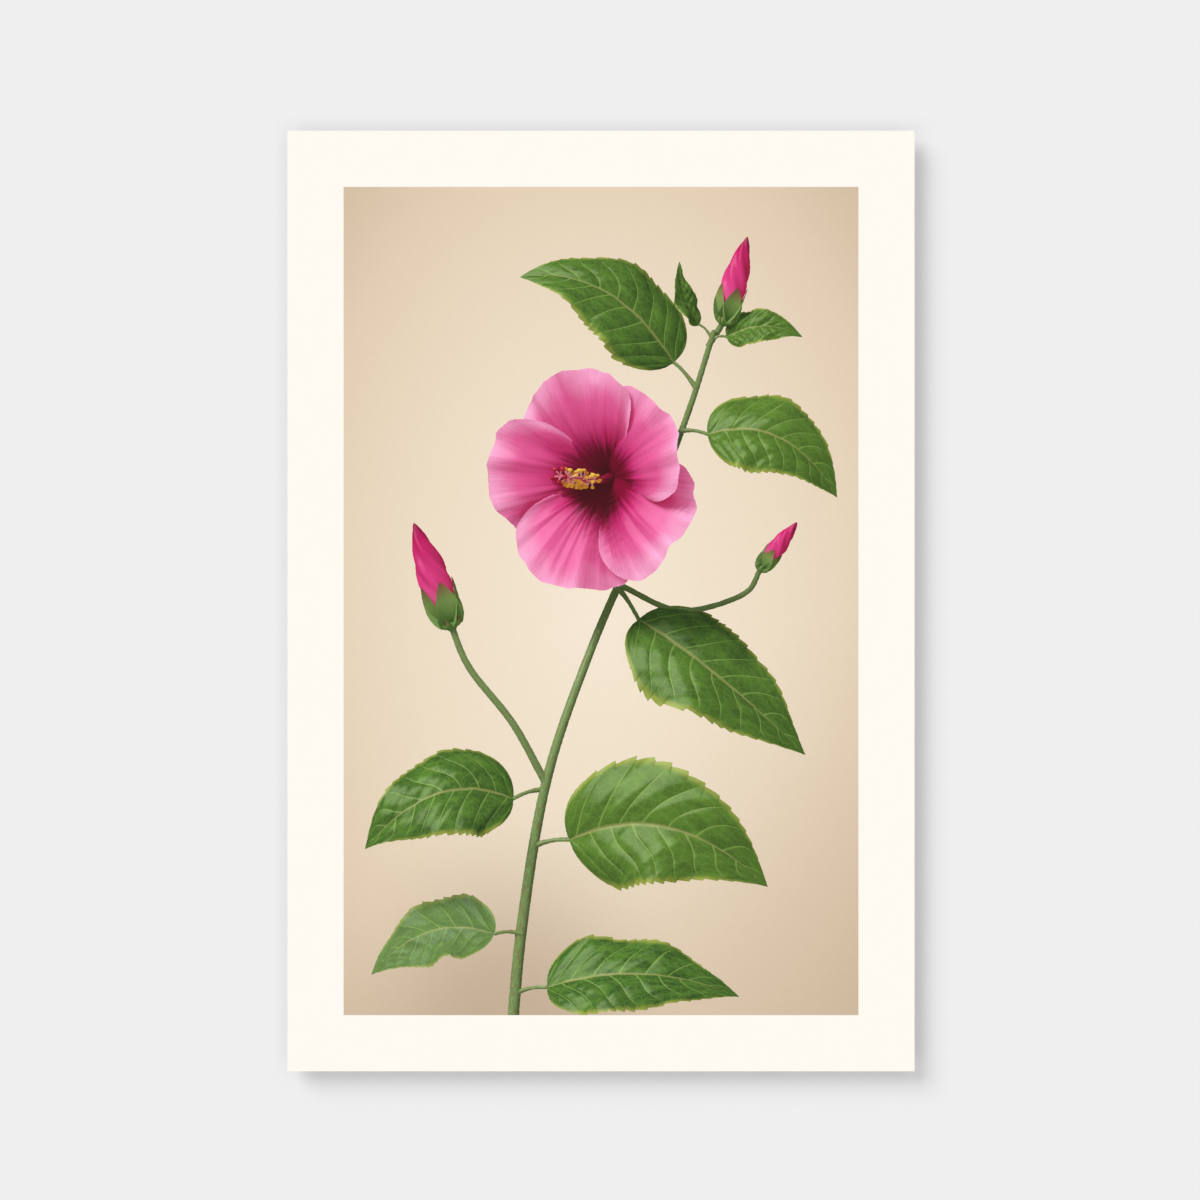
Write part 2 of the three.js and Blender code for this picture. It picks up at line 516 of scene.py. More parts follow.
def ball(canvas, centre, radius, tone, ink, shape=(1, 1, 1)):
    # Rather more than half a turn long and a whole turn round
    u, v = grid(radius * 3.6, radius * 7.2)
    a, b = u * math.pi, v * math.pi
    points = np.stack([np.sin(a) * np.cos(b), np.sin(a) * np.sin(b), np.cos(a) + 0 * b], -1)
    canvas.put(np.asarray(centre) + points * radius * np.array(shape), u, v, tone, ink)


# The flower. Lengths in millimetres, angles in radians
petals = {
    "count": 5,
    "spread": 0.86,          # half the angle that a petal fills
    "claw": 0.035,           # its foot's distance from the axis, as a share of its length
    "rounding": 0.60,        # how much shorter it is at its sides than in the middle
    "squareness": 3.4,
    "lopsided": 0.05,
    "nicks": 0.014,
    "ruffle": 3.2,
    "ruffleSize": 70,        # the bloom's size to which the ruffle belongs
    "ruffleRise": 3.4,
    "pleat": 0.30,
    "swell": 0.5,
    "cup": (-0.30, -0.05),
    "twistBetween": (0.05, 0.5),
    "turnJitter": 0.05,
    "openingJitter": 0.06,
    "lengthJitter": 0.025,
}


def flowerFrame(axis, roll):
    # The flower's axis, and two directions square to it from which its parts are counted round
    axis = unit(axis)
    first = unit(np.cross(np.cross(axis, (0, 1, 0)), axis))
    second = np.cross(axis, first)
    return axis, *turned(first, second, roll)


def petalSpine(at, axis, radial, lateral, length, opening, foot):
    # The opening says how far the foot and the tip lean out, how soon they do, and how the petal twists
    start, end, power, twist = opening
    share = np.linspace(0, 1, 120)
    lean = start + (end - start) * share ** power
    step = length / (len(share) - 1)
    out = foot + np.concatenate([[0], np.cumsum(np.sin(lean[:-1]) * step)])
    up = np.concatenate([[0], np.cumsum(np.cos(lean[:-1]) * step)])
    curve = np.asarray(at) + out[:, None] * radial + up[:, None] * axis
    tangent = np.gradient(curve, axis=0)
    tangent /= np.linalg.norm(tangent, axis=1, keepdims=True)
    side = np.tile(lateral, (len(share), 1))
    front = np.cross(side, tangent)
    if (front @ axis).sum() < 0:
        side, front = -side, -front
    side, front = turned(side, front, twist * smooth(*petals["twistBetween"], share)[:, None])
    return {"along": share * length, "at": curve, "side": side, "front": front, "length": length}


def petal(canvas, spine, ruffle, tone, rng):
    length = spine["length"]
    u, v = grid(length, length * petals["spread"] * 1.7, 0.15)
    full = (1 - np.abs(v) ** petals["squareness"]) ** 0.5
    edge = (1 - petals["rounding"] + petals["rounding"] * full) * (1 + petals["lopsided"] * v)
    edge = edge * (1 + petals["nicks"] * waves(v, rng, 9, 21, 33))
    reach = u * edge * length
    along = reach * np.cos(v * petals["spread"])
    sideways = reach * np.sin(v * petals["spread"])
    rim = waves(v, rng, 6.5, 12.5, 23) + 0.25 * np.sin(14 * v + 5 * u)
    pleats = waves(v, rng, 21, 31, 43, 56) * smooth(0.08, 0.45, u) * (1 - 0.45 * u)
    forward = rng.uniform(*petals["cup"]) * sideways ** 2 / length
    forward = forward + ruffle * u ** petals["ruffleRise"] * rim
    forward = forward + petals["pleat"] * pleats + petals["swell"] * waves(v + 0.5 * u, rng, 9, 13) * u
    points = onSpine(spine, np.clip(along, 0, length), sideways, forward)
    canvas.put(points, u, v, tone, "petal", "petalUnder")


def ring(around, count, turn, rng, jitter):
    # The ways outwards and sideways for each of so many parts round a flower's axis
    first, second = around[1:]
    for k in range(count):
        angle = 2 * math.pi * (k + turn) / count + rng.normal(0, jitter)
        cos, sin = math.cos(angle), math.sin(angle)
        yield cos * first + sin * second, cos * second - sin * first


def bloom(canvas, at, axis, size, opening, roll, seed):
    rng = np.random.default_rng(seed)
    around = flowerFrame(axis, roll)
    for radial, lateral in ring(around, petals["count"], 0, rng, petals["turnJitter"]):
        bent = (opening[0], opening[1] + rng.normal(0, petals["openingJitter"]), opening[2], opening[3])
        length = size * (1 + rng.normal(0, petals["lengthJitter"]))
        spine = petalSpine(at, around[0], radial, lateral, length, bent, petals["claw"] * size)
        petal(canvas, spine, petals["ruffle"] * size / petals["ruffleSize"], rng.random(), rng)
    calyx(canvas, at, around, size, sepals["openLean"], 1, rng)
    pistil(canvas, np.asarray(at), around[0], size, rng)


# The calyx: broad sepals, and a ring of narrow ones below them. Their lengths are shares of the flower's
# size, and the narrow ones' radii are in millimetres
sepals = {
    "count": 5,
    "length": 0.42,
    "halfWidth": 0.115,
    "blunt": 0.22,             # how much of the egg shape its foot cuts off
    "below": 0.10,             # the petals' foot
    "claw": 0.02,
    "footLean": 1.0,
    "leanPower": 0.35,
    "openLean": 0.92,
    "closedLean": 0.08,
    "keel": 0.02,              # per millimetre
    "turnJitter": 0.05,
    "knob": 0.05,
    "knobBelow": 0.01,
    "narrow": {
        "count": 8,
        "foot": 0.02,
        "bend": 0.09,
        "reach": 0.115,
        "rise": 0.10,
        "radii": (0.9, 1.1, 0.9),
        "tip": 0.35,
        "turnJitter": 0.1,
    },
}


def calyx(canvas, at, around, size, lean, scale, rng):
    axis = around[0]
    foot = np.asarray(at) - axis * sepals["below"] * size * scale
    opening = (sepals["footLean"], lean, sepals["leanPower"], 0)
    for radial, lateral in ring(around, sepals["count"], 0.5, rng, sepals["turnJitter"]):
        length = size * sepals["length"] * scale
        spine = petalSpine(foot, axis, radial, lateral, length, opening, sepals["claw"] * size)
        u, v = grid(length, length * 0.6)
        egg = np.sin((u * (1 - sepals["blunt"]) + sepals["blunt"]) ** 0.8 * math.pi)
        half = sepals["halfWidth"] * size * scale * np.maximum(egg, 0) ** 0.8
        points = onSpine(spine, u * length + 0 * v, v * half, -sepals["keel"] * (v * half) ** 2)
        canvas.put(points, u, v, rng.random(), "sepal")
    narrow = sepals["narrow"]
    radii = [radius * scale for radius in narrow["radii"]] + [narrow["tip"]]
    for radial, lateral in ring(around, narrow["count"], 0, rng, narrow["turnJitter"]):
        start = foot - axis * narrow["foot"] * size + radial * narrow["foot"] * size
        end = start + radial * narrow["reach"] * size + axis * narrow["rise"] * size
        curve = bezier(start, start + radial * narrow["bend"] * size, end)
        tube(canvas, curve, radii, rng.random(), "sepal")
    ball(canvas, foot - axis * sepals["knobBelow"] * size, sepals["knob"] * size * scale, 0.5, "sepal")


# The column in the bloom's middle, as long as the bloom's size, with stamens round it and stigmas on it
column = {
    "radii": [4.4, 2.3, 1.9, 1.5, 1.3, 1.1, 1.0, 0.9],
    "sunk": 2,
    "upturn": 0.10,                                # share of its length
    "stamens": {
        "count": 60,
        "between": (0.36, 0.93),                   # shares of the column's length
        "reach": (4.0, 6.4),
        "lean": (0.1, 0.5),
        "turnJitter": 0.25,
        "radii": [0.36, 0.3],
        "anther": (0.95, 1.25),
        "antherShape": (1.15, 0.8, 0.9),
    },
    "stigmas": {
        "count": 5,
        "turn": 0.3,
        "rise": 6,
        "bend": 5,
        "reach": 4.6,
        "radii": [0.5, 0.45],
        "head": 1.45,
        "headShape": (1, 1, 0.8),
    },
}


def pistil(canvas, at, axis, size, rng):
    end = at + axis * size + np.array([0, column["upturn"] * size, 0])
    curve = bezier(at - axis * column["sunk"], at + axis * size * 0.5, end)
    tube(canvas, curve, column["radii"], 0.3, "column")
    spine = spineOf(curve)
    tip = unit(curve[-1] - curve[-6])

    def outwards(index, angle):
        return math.cos(angle) * spine["side"][index] + math.sin(angle) * spine["front"][index]

    stamens = column["stamens"]
    for k in range(stamens["count"]):
        index = int(rng.uniform(*stamens["between"]) * (len(curve) - 1))
        out = outwards(index, k * goldenAngle + rng.normal(0, stamens["turnJitter"]))
        reach = rng.uniform(*stamens["reach"])
        root = curve[index]
        end = root + out * reach + tip * reach * rng.uniform(*stamens["lean"])
        bent = bezier(root, root + out * reach * 0.5, end, 12)
        tube(canvas, bent, stamens["radii"], rng.random(), "filament")
        ball(canvas, end, rng.uniform(*stamens["anther"]), rng.random(), "anther", stamens["antherShape"])
    stigmas = column["stigmas"]
    for k in range(stigmas["count"]):
        out = outwards(-1, k * 2 * math.pi / stigmas["count"] + stigmas["turn"])
        end = curve[-1] + tip * stigmas["rise"] + out * stigmas["reach"]
        bent = bezier(curve[-1], curve[-1] + tip * stigmas["bend"], end, 14)
        tube(canvas, bent, stigmas["radii"], 0.5, "style")
        ball(canvas, end, stigmas["head"], rng.random(), "stigma", stigmas["headShape"])


# A bud: petals wound round one another to a point
budForm = {
    "radius": 0.17,               # share of its length
    "blunt": 0.06,
    "slimmer": 0.25,              # at the tip
    "folds": 5,
    "winding": 3.6,               # radians from foot to tip
    "foldDepth": 0.10,
    "calyxSize": 1.05,
    "calyxScale": 1.15,
}


def bud(canvas, at, axis, size, roll, seed):
    rng = np.random.default_rng(seed)
    around = flowerFrame(axis, roll)
    axis, first, second = around
    u, v = grid(size, size)
    angle = v * math.pi
    egg = np.sin(np.clip(u * (1 - budForm["blunt"]) + budForm["blunt"], 0, 1) ** 0.85 * math.pi)
    profile = egg ** 0.75 * (1 - budForm["slimmer"] * u)
    wound = budForm["folds"] / 2 * (angle + budForm["winding"] * u)
    fold = budForm["foldDepth"] * np.sin(2 * wound) * smooth(0.05, 0.4, u)
    radius = budForm["radius"] * size * profile * (1 + fold)
    points = (np.asarray(at) + axis * (u * size)[..., None]
              + (radius * np.cos(angle))[..., None] * first + (radius * np.sin(angle))[..., None] * second)
    canvas.put(points, u, np.sin(wound), rng.random(), "budPetal")
    calyx(canvas, at, around, size * budForm["calyxSize"], sepals["closedLean"], budForm["calyxScale"], rng)


# Leaves: egg-shaped with a drawn-out tip, toothed, folded along the rib and waved at the margin
leafForm = {
    "foot": 0.5,
    "tip": 1.12,
    "teeth": 17,
    "tooth": 0.07,
    "toothedFrom": (0.10, 0.24),
    "toothedTo": (0.90, 0.98),
    "uneven": 0.03,
    "fold": 0.26,
    "foldFlatter": 0.35,         # at the margin
    "wave": 2.6,
    "quilt": 1.1,
    "arch": 0.010,
    "dent": 0.25,
    "veins": 8.5,                # on either side of the midrib
    "veinReach": (1.9, 0.665),   # how far a vein climbs to the margin, and how much less near the tip
    "veinCurve": 1.15,
    "veinStagger": 0.2,
    "veinSway": 0.12,
    "swayWaves": (9, 5, 20),     # along, across, and from leaf to leaf
}


def veinsAt(u, v, tone):
    # Whole numbers are veins, which don't leave the midrib in pairs
    low, less = leafForm["veinReach"]
    along, across, others = leafForm["swayWaves"]
    return (u * leafForm["veins"] - np.abs(v) ** leafForm["veinCurve"] * (low - less * u)
            + leafForm["veinStagger"] * np.sign(v)
            + leafForm["veinSway"] * np.sin(along * u + across * v + others * tone))


def leaf(canvas, base, middle, tip, width, twist, seed, face=(0, 0.25, 1)):
    rng = np.random.default_rng(seed)
    spine = spineOf(bezier(base, middle, tip), face, twist)
    length = spine["length"]
    u, v = grid(length, width, 0.15)
    foot, drawn = leafForm["foot"], leafForm["tip"]
    widest = foot / (foot + drawn)
    outline = (u / widest) ** foot * ((1 - u) / (1 - widest)) ** drawn
    half = width / 2 * outline
    sign = np.sign(v)
    beat = u * leafForm["teeth"] + 0.30 * waves(u + 0.4 * sign, rng, 11, 17) + 0.5 * sign
    toothed = smooth(*leafForm["toothedFrom"], u) * (1 - smooth(*leafForm["toothedTo"], u))
    tooth = leafForm["tooth"] * (beat % 1) * toothed * np.abs(v) ** 8
    sideways = v * half * (1 + leafForm["uneven"] * waves(u, rng, 9, 15) * sign) * (1 + tooth)
    ripple = waves(u + 0.12 * sign, rng, 12, 19)
    tone = rng.random()
    quilt = np.abs(np.sin(veinsAt(u, v, tone) * math.pi)) ** 0.7 * smooth(0, 0.35, np.abs(v)) * (1 - v ** 4)
    forward = leafForm["fold"] * np.abs(sideways) * (1 - leafForm["foldFlatter"] * np.abs(v))
    forward = forward + leafForm["wave"] * ripple * v ** 2 * outline * smooth(0, 0.3, u)
    forward = forward + leafForm["quilt"] * quilt * outline
    forward = forward - leafForm["arch"] * sideways ** 2 * (0.6 + 0.4 * np.sin(u * 3 + rng.uniform(0, 6)))
    forward = forward + leafForm["dent"] * waves(u * 3 + v, rng, 9, 14, 22) * outline
    canvas.put(onSpine(spine, u * length + 0 * v, sideways, forward), u, v, tone, "leaf", "leafUnder")


# The composition, in millimetres from the picture's middle, the third number towards the viewer
plant = {
    "branch": [(-58, -290, -14), (-50, -205, -6), (-34, -112, 0), (-6, -30, -2), (26, 44, -16),
               (54, 116, -16), (72, 172, -4)],
    "branchRadii": [3.6, 3.4, 3.0, 2.6, 2.2, 1.9, 1.6],
    "bloom": {"at": (6, 78, 28), "axis": (-0.40, -0.08, 0.91), "size": 76,
              "opening": (0.45, 1.50, 0.55, 0.27), "roll": 0.35, "seed": 11},
    "bloomStalk": [(21, 30, -14), (24, 50, -8), (18, 70, 4)],
    "bloomStalkRadii": [2.2, 2.0, 2.4],
    "bloomFoot": 9,             # how far behind the bloom its stalk ends
    "budFoot": 3,
    "leafStalkRadii": (1.3, 0.8, 0.8),
    "leafStalkGrowth": (0.6, 90),   # their scale for no leaf, and the leaf's width that adds one to it
    "leafStalkRise": 3,
    "buds": [
        {"at": (80, 184, -2), "axis": (0.26, 0.95, 0.12), "size": 50, "roll": 0.4, "seed": 5,
         "stalk": [(68, 162, -8), (75, 173, -6)], "radii": [1.8, 1.8]},
        {"at": (104, 24, 10), "axis": (0.62, 0.78, 0.2), "size": 34, "roll": 1.0, "seed": 6,
         "stalk": [(12, 10, -8), (50, -6, 0), (90, 4, 8)], "radii": [1.7, 1.5]},
        {"at": (-98, -8, 14), "axis": (-0.34, 0.93, 0.12), "size": 62, "roll": 0.2, "seed": 9,
         "stalk": [(-35, -116, 0), (-56, -78, 8), (-84, -42, 12)], "radii": [2.3, 1.9]},
    ],
    "leaves": [
        {"stalk": (11, 8, -8), "base": (24, -12, 2), "middle": (66, -36, 42),
         "tip": (130, -98, 12), "width": 70, "twist": 0.3, "seed": 3},
        {"stalk": (-36, -120, -1), "base": (-56, -126, 6), "middle": (-106, -104, 36),
         "tip": (-150, -158, 10), "width": 64, "twist": -0.3, "seed": 2, "face": (0.1, 0.3, 1)},
        {"stalk": (-43, -156, -2), "base": (-20, -152, 6), "middle": (44, -122, 50),
         "tip": (106, -182, 26), "width": 80, "twist": -0.12, "seed": 1},
        {"stalk": (-50, -212, -4), "base": (-68, -212, -2), "middle": (-112, -196, -4),
         "tip": (-146, -238, -22), "width": 52, "twist": 2.75, "seed": 8, "face": (0, 0.3, 1)},
        {"stalk": (-55, -250, -10), "base": (-34, -246, 0), "middle": (26, -226, 30),
         "tip": (88, -252, 6), "width": 58, "twist": 0.35, "seed": 7},
        {"stalk": (50, 108, -14), "base": (68, 106, -10), "middle": (118, 122, 6),
         "tip": (150, 66, -12), "width": 56, "twist": 0.3, "seed": 4},
        {"stalk": (60, 136, -12), "base": (46, 152, -14), "middle": (6, 216, 6),
         "tip": (-52, 206, -16), "width": 60, "twist": -0.35, "seed": 5},
        {"stalk": (70, 166, -5), "base": (80, 168, -4), "middle": (104, 182, 8),
         "tip": (128, 168, 2), "width": 24, "twist": 0.2, "seed": 12},
        {"stalk": (70, 168, -5), "base": (62, 176, -6), "middle": (48, 196, 4),
         "tip": (50, 216, 2), "width": 15, "twist": -0.5, "seed": 13},
    ],
}


def paintPlant():
    canvas = Canvas()
    tube(canvas, throughPoints(plant["branch"]), plant["branchRadii"], 0.4, "stem")
    flower = plant["bloom"]
    foot = np.array(flower["at"]) - unit(flower["axis"]) * plant["bloomFoot"]
    tube(canvas, throughPoints(plant["bloomStalk"] + [foot]), plant["bloomStalkRadii"], 0.6, "stem")
    bloom(canvas, **flower)
    for one in plant["buds"]:
        foot = np.array(one["at"]) - unit(one["axis"]) * plant["budFoot"]
        tube(canvas, throughPoints(one["stalk"] + [foot]), one["radii"], 0.5, "stem")
        bud(canvas, one["at"], one["axis"], one["size"], one["roll"], one["seed"])
    least, growth = plant["leafStalkGrowth"]
    for one in plant["leaves"]:
        start, base = np.array(one["stalk"], float), np.array(one["base"], float)
        thick = least + one["width"] / growth
        bent = bezier(start, (start + base) / 2 + np.array([0, plant["leafStalkRise"], 0]), base)
        tube(canvas, bent, [radius * thick for radius in plant["leafStalkRadii"]], 0.3, "stem")
        leaf(canvas, **{key: value for key, value in one.items() if key != "stalk"})
    canvas.settle()
    return canvas


# The light in the picture: a soft box at the upper left, and a pale room all round. Lengths in millimetres
pictureLight = {
    "towards": (-0.50, 0.62, 0.60),
    "spread": 0.20,
    "rays": 20,
    "firstStep": 0.75,           # along a ray, where each step is longer than the last
    "stepGrowth": 1.26,
    "stepExtra": 0.25,
    "furthest": 95,
    "clearance": 0.15,
    "edge": (0.25, 0.04),        # how soft a shadow's edge is close by, and how much softer with each mm
    "key": 0.92,
    "wrap": 0.12,                # how far past edge-on the box still lights a surface
    "room": 0.34,
    "azimuths": 12,
    "roomSteps": (0.8, 1.6, 3, 5, 8, 13, 20, 32),
    "roomClearance": 0.1,
    "fromAbove": 0.2,            # the part of the room's light that falls from above
    "softBox": (0.80, 0.99),     # cosines between which the box's reflection fades in
    "glow": (-0.1, -0.7),        # cosines between which light from behind shines through
}


def shifted(height, right, up):
    here, there = overlap(int(round(right / pitch)), int(round(up / pitch)))
    out = np.full(latticeShape, painting["nothing"], np.float32)
    out[here] = height[there]
    return out


def litByBox(height):
    # The share of the soft box that each point sees, by rays towards points spread over the box
    towards = unit(pictureLight["towards"])
    side = unit(np.cross(towards, (0, 0, 1)))
    other = np.cross(side, towards)
    steps = [pictureLight["firstStep"]]
    while steps[-1] < pictureLight["furthest"]:
        steps.append(steps[-1] * pictureLight["stepGrowth"] + pictureLight["stepExtra"])
    edge, softer = pictureLight["edge"]
    lit = np.zeros(latticeShape, np.float32)
    for k in range(pictureLight["rays"]):
        radius = pictureLight["spread"] * math.sqrt((k + 0.5) / pictureLight["rays"])
        turn = k * goldenAngle
        ray = unit(towards + radius * (math.cos(turn) * side + math.sin(turn) * other))
        run = math.hypot(ray[0], ray[1])
        clear = np.ones(latticeShape, np.float32)
        for step in steps:
            over = shifted(height, ray[0] / run * step, ray[1] / run * step) - height
            over -= step * ray[2] / run + pictureLight["clearance"]
            clear = np.minimum(clear, 1 - over / (edge + softer * step))
        lit += np.clip(clear, 0, 1) / pictureLight["rays"]
    return lit


def litByRoom(height):
    # The share of the room that each point sees past what rises round it
    azimuths = pictureLight["azimuths"]
    room = np.zeros(latticeShape, np.float32)
    for k in range(azimuths):
        turn = 2 * math.pi * (k + 0.5) / azimuths
        slope = np.zeros(latticeShape, np.float32)
        for step in pictureLight["roomSteps"]:
            rise = shifted(height, math.cos(turn) * step, math.sin(turn) * step) - height
            slope = np.maximum(slope, (rise - pictureLight["roomClearance"]) / step)
        room += (1 - slope / np.sqrt(1 + slope * slope)) / azimuths
    return room


def lightPlant(canvas):
    lit, room, normal = litByBox(canvas.height), litByRoom(canvas.height), canvas.normal
    towards = unit(pictureLight["towards"]).astype(np.float32)
    facing = normal @ towards
    fromAbove, wrap = pictureLight["fromAbove"], pictureLight["wrap"]
    light = pictureLight["room"] * room * (1 - fromAbove + fromAbove * normal[..., 1])
    light += pictureLight["key"] * lit * np.clip((facing + wrap) / (1 + wrap), 0, 1)
    mirrored = 2 * normal[..., 2:] * normal - np.array([0, 0, 1], np.float32)
    gloss = smooth(*pictureLight["softBox"], mirrored @ towards) * lit
    glow = smooth(*pictureLight["glow"], facing) * room
    onPlant = (canvas.label > painting["backdrop"])[..., None]
    return np.stack([light, gloss, glow], -1).astype(np.float32) * onPlant


# The sheet's mesh: large square cells where a colour hardly changes, small ones along every outline
def cellsBySize(label, fields):
    smallest = sheet["smallest"]
    errorKinds = ("place", "place", "tone", "light", "gloss", "gloss")      # in the fields' order
    allowed = np.array([sheet[kind + "Error"] for kind in errorKinds], np.float32)

    def blocks(values, size, choose):
        wide, tall = values.shape[0] // size, values.shape[1] // size
        return choose(values.reshape(wide, size, tall, size), axis=(1, 3))

    corners = [label[:-1, :-1], label[1:, :-1], label[:-1, 1:], label[1:, 1:]]
    low, high = np.minimum.reduce(corners), np.maximum.reduce(corners)
    size = smallest
    split = {size: np.zeros(tuple(count // size for count in low.shape), bool)}
    while size < sheet["steps"]:
        size *= 2
        corner = fields[::size, ::size]
        half = size // 2
        errors = allowed * (sheet["finestErrors"] if half == smallest else 1)
        acrossBad = np.abs(fields[half::size, ::size] - (corner[:-1] + corner[1:]) / 2) > errors
        upBad = np.abs(fields[::size, half::size] - (corner[:, :-1] + corner[:, 1:]) / 2) > errors
        mean = (corner[:-1, :-1] + corner[1:, :-1] + corner[:-1, 1:] + corner[1:, 1:]) / 4
        middleBad = np.abs(fields[half::size, half::size] - mean) > errors
        bad = (acrossBad[:, :-1] | acrossBad[:, 1:] | upBad[:-1] | upBad[1:] | middleBad).any(-1)
        mixed = blocks(low, size, np.min) != blocks(high, size, np.max)
        if size == sheet["smallestMixed"]:
            # One outline that crosses a cell of this size leaves it whole
            acrossEdges = (label[1:] != label[:-1])[:, ::size]
            upEdges = (label[:, 1:] != label[:, :-1])[::size]
            onRows = acrossEdges.reshape(-1, size, acrossEdges.shape[1]).sum(1)
            onColumns = upEdges.reshape(upEdges.shape[0], -1, size).sum(2)
            crossed = onRows[:, :-1] + onRows[:, 1:] + onColumns[:-1] + onColumns[1:] > 2
            split[size] = np.where(mixed, crossed, bad)
        else:
            split[size] = bad | mixed | blocks(split[half], 2, np.any)
    active = np.ones(split[size].shape, bool)
    cells = {}
    while size >= smallest:
        cells[size] = np.argwhere(active & ~split[size]) * size
        active = np.repeat(np.repeat(active & split[size], 2, 0), 2, 1)
        size //= 2
    return cells


def sheetFaces(label, fields):
    # Works in half steps of the lattice. A border point stands at each cell's corner, and half way
    # between two neighbours on a cell's edge that belong to two elements
    steps, margin = sheet["steps"], sheet["margin"]
    across, up = sheet["cellsAcross"], sheet["cellsUp"]
    cells = cellsBySize(label, fields)
    inset = margin * steps
    label = np.pad(label, inset)
    fields = np.pad(fields, ((inset, inset), (inset, inset), (0, 0)))
    marked = np.zeros((2 * label.shape[0] - 1, 2 * label.shape[1] - 1), bool)
    inner = slice(2 * inset, -2 * inset)
    marked[1::2, ::2] = label[1:] != label[:-1]
    marked[::2, 1::2] = label[:, 1:] != label[:, :-1]
    kept = marked[inner, inner].copy()
    marked[:] = False
    marked[inner, inner] = kept
    coarse = np.argwhere(np.ones((across, up), bool))
    inPicture = ((coarse >= margin) & (coarse < np.array([across, up]) - margin)).all(1)
    groups = [(size, origin + inset, False) for size, origin in cells.items()]
    groups.append((steps, coarse[~inPicture] * steps, True))
    for size, origin in (group[:2] for group in groups):
        for right in (0, 2 * size):
            for upward in (0, 2 * size):
                marked[2 * origin[:, 0] + right, 2 * origin[:, 1] + upward] = True

    # A cell with no more than its corners marked is one quad. Any other is a fan of triangles round a hub
    quads, quadLabels, quadFields = [], [], []
    fans, fanLabels, fanFields, hubs = [], [], [], []
    tall = marked.shape[1]
    hubCount = 0
    for size, origin, bare in groups:
        side = 2 * size
        k = np.arange(side)
        border = np.concatenate([np.stack([k, 0 * k], 1), np.stack([0 * k + side, k], 1),
                                 np.stack([side - k, 0 * k + side], 1), np.stack([0 * k, side - k], 1)])
        walk = 2 * origin[:, None, :] + border[None]
        cell, place = np.nonzero(marked[walk[..., 0], walk[..., 1]])
        count = np.bincount(cell, minlength=len(origin))
        plain = count == 4
        if plain.any():
            corners = walk[plain][:, ::side]
            quads.append(corners[..., 0] * tall + corners[..., 1])
            half = corners // 2
            quadLabels.append(np.where(bare, 0, label[half[:, 0, 0], half[:, 0, 1]]))
            quadFields.append(fields[half[..., 0], half[..., 1]] * (not bare))
        keep = ~plain[cell]
        cell, place = cell[keep], place[keep]
        if not len(cell):
            continue
        starts = np.flatnonzero(np.concatenate([[True], cell[1:] != cell[:-1]]))
        ends = np.concatenate([starts[1:], [len(cell)]])
        following = np.arange(1, len(cell) + 1)
        following[ends - 1] = starts
        nextPlace = place[following]
        first, second = walk[cell, place], walk[cell, nextPlace]
        # A crossing takes its fields from the lattice point beside it that is on the triangle's own side
        start = walk[cell, (place + place % 2) % len(border)] // 2
        end = walk[cell, (nextPlace - nextPlace % 2) % len(border)] // 2
        name = np.where(bare, 0, label[start[:, 0], start[:, 1]])
        firstFields = fields[start[:, 0], start[:, 1]] * (not bare)
        secondFields = fields[end[:, 0], end[:, 1]] * (not bare)
        # The hub is midway between the crossings, or in the cell's middle if it has none
        number = np.repeat(np.arange(len(starts)), ends - starts)
        crossing = (place % 2).astype(float)
        crossings = np.bincount(number, crossing)
        middle = 2.0 * origin[cell[starts]] + size
        for axis in (0, 1):
            total = np.bincount(number, crossing * first[:, axis])
            found = crossings > 0
            middle[found, axis] = total[found] / crossings[found]
            low = 2.0 * origin[cell[starts], axis] + sheet["hubInset"]
            high = low + side - 2 * sheet["hubInset"]
            middle[:, axis] = np.clip(middle[:, axis], low, high)
        group = np.unique(number * (label.max() + 1) + name, return_inverse=True)[1]
        share = np.bincount(group)
        hubFields = np.stack([np.bincount(group, (firstFields + secondFields)[:, c] / 2) / share
                              for c in range(fields.shape[2])], -1)[group]
        hubs.append(middle)
        fans.append(np.stack([first[:, 0] * tall + first[:, 1], second[:, 0] * tall + second[:, 1],
                              -1 - hubCount - number], 1))
        fanLabels.append(name)
        fanFields.append(np.stack([firstFields, secondFields, hubFields], 1))
        hubCount += len(starts)
    return {
        "quads": np.concatenate(quads), "quadLabels": np.concatenate(quadLabels),
        "quadFields": np.concatenate(quadFields), "fans": np.concatenate(fans),
        "fanLabels": np.concatenate(fanLabels), "fanFields": np.concatenate(fanFields),
        "hubs": np.concatenate(hubs), "marked": marked,
    }


# Where the sheet's sides lie on its map. The face has the left two thirds to itself
sheetMap = {
    "backCorner": (0.97, 0.03),
    "backSize": (-0.27, 0.41),      # the back is seen the other way round
    "firstEdge": 0.70,
    "edgePitch": 0.07,
    "edgeWidth": 0.02,
    "edgeStart": 0.49,
    "edgeScale": 0.48,
}


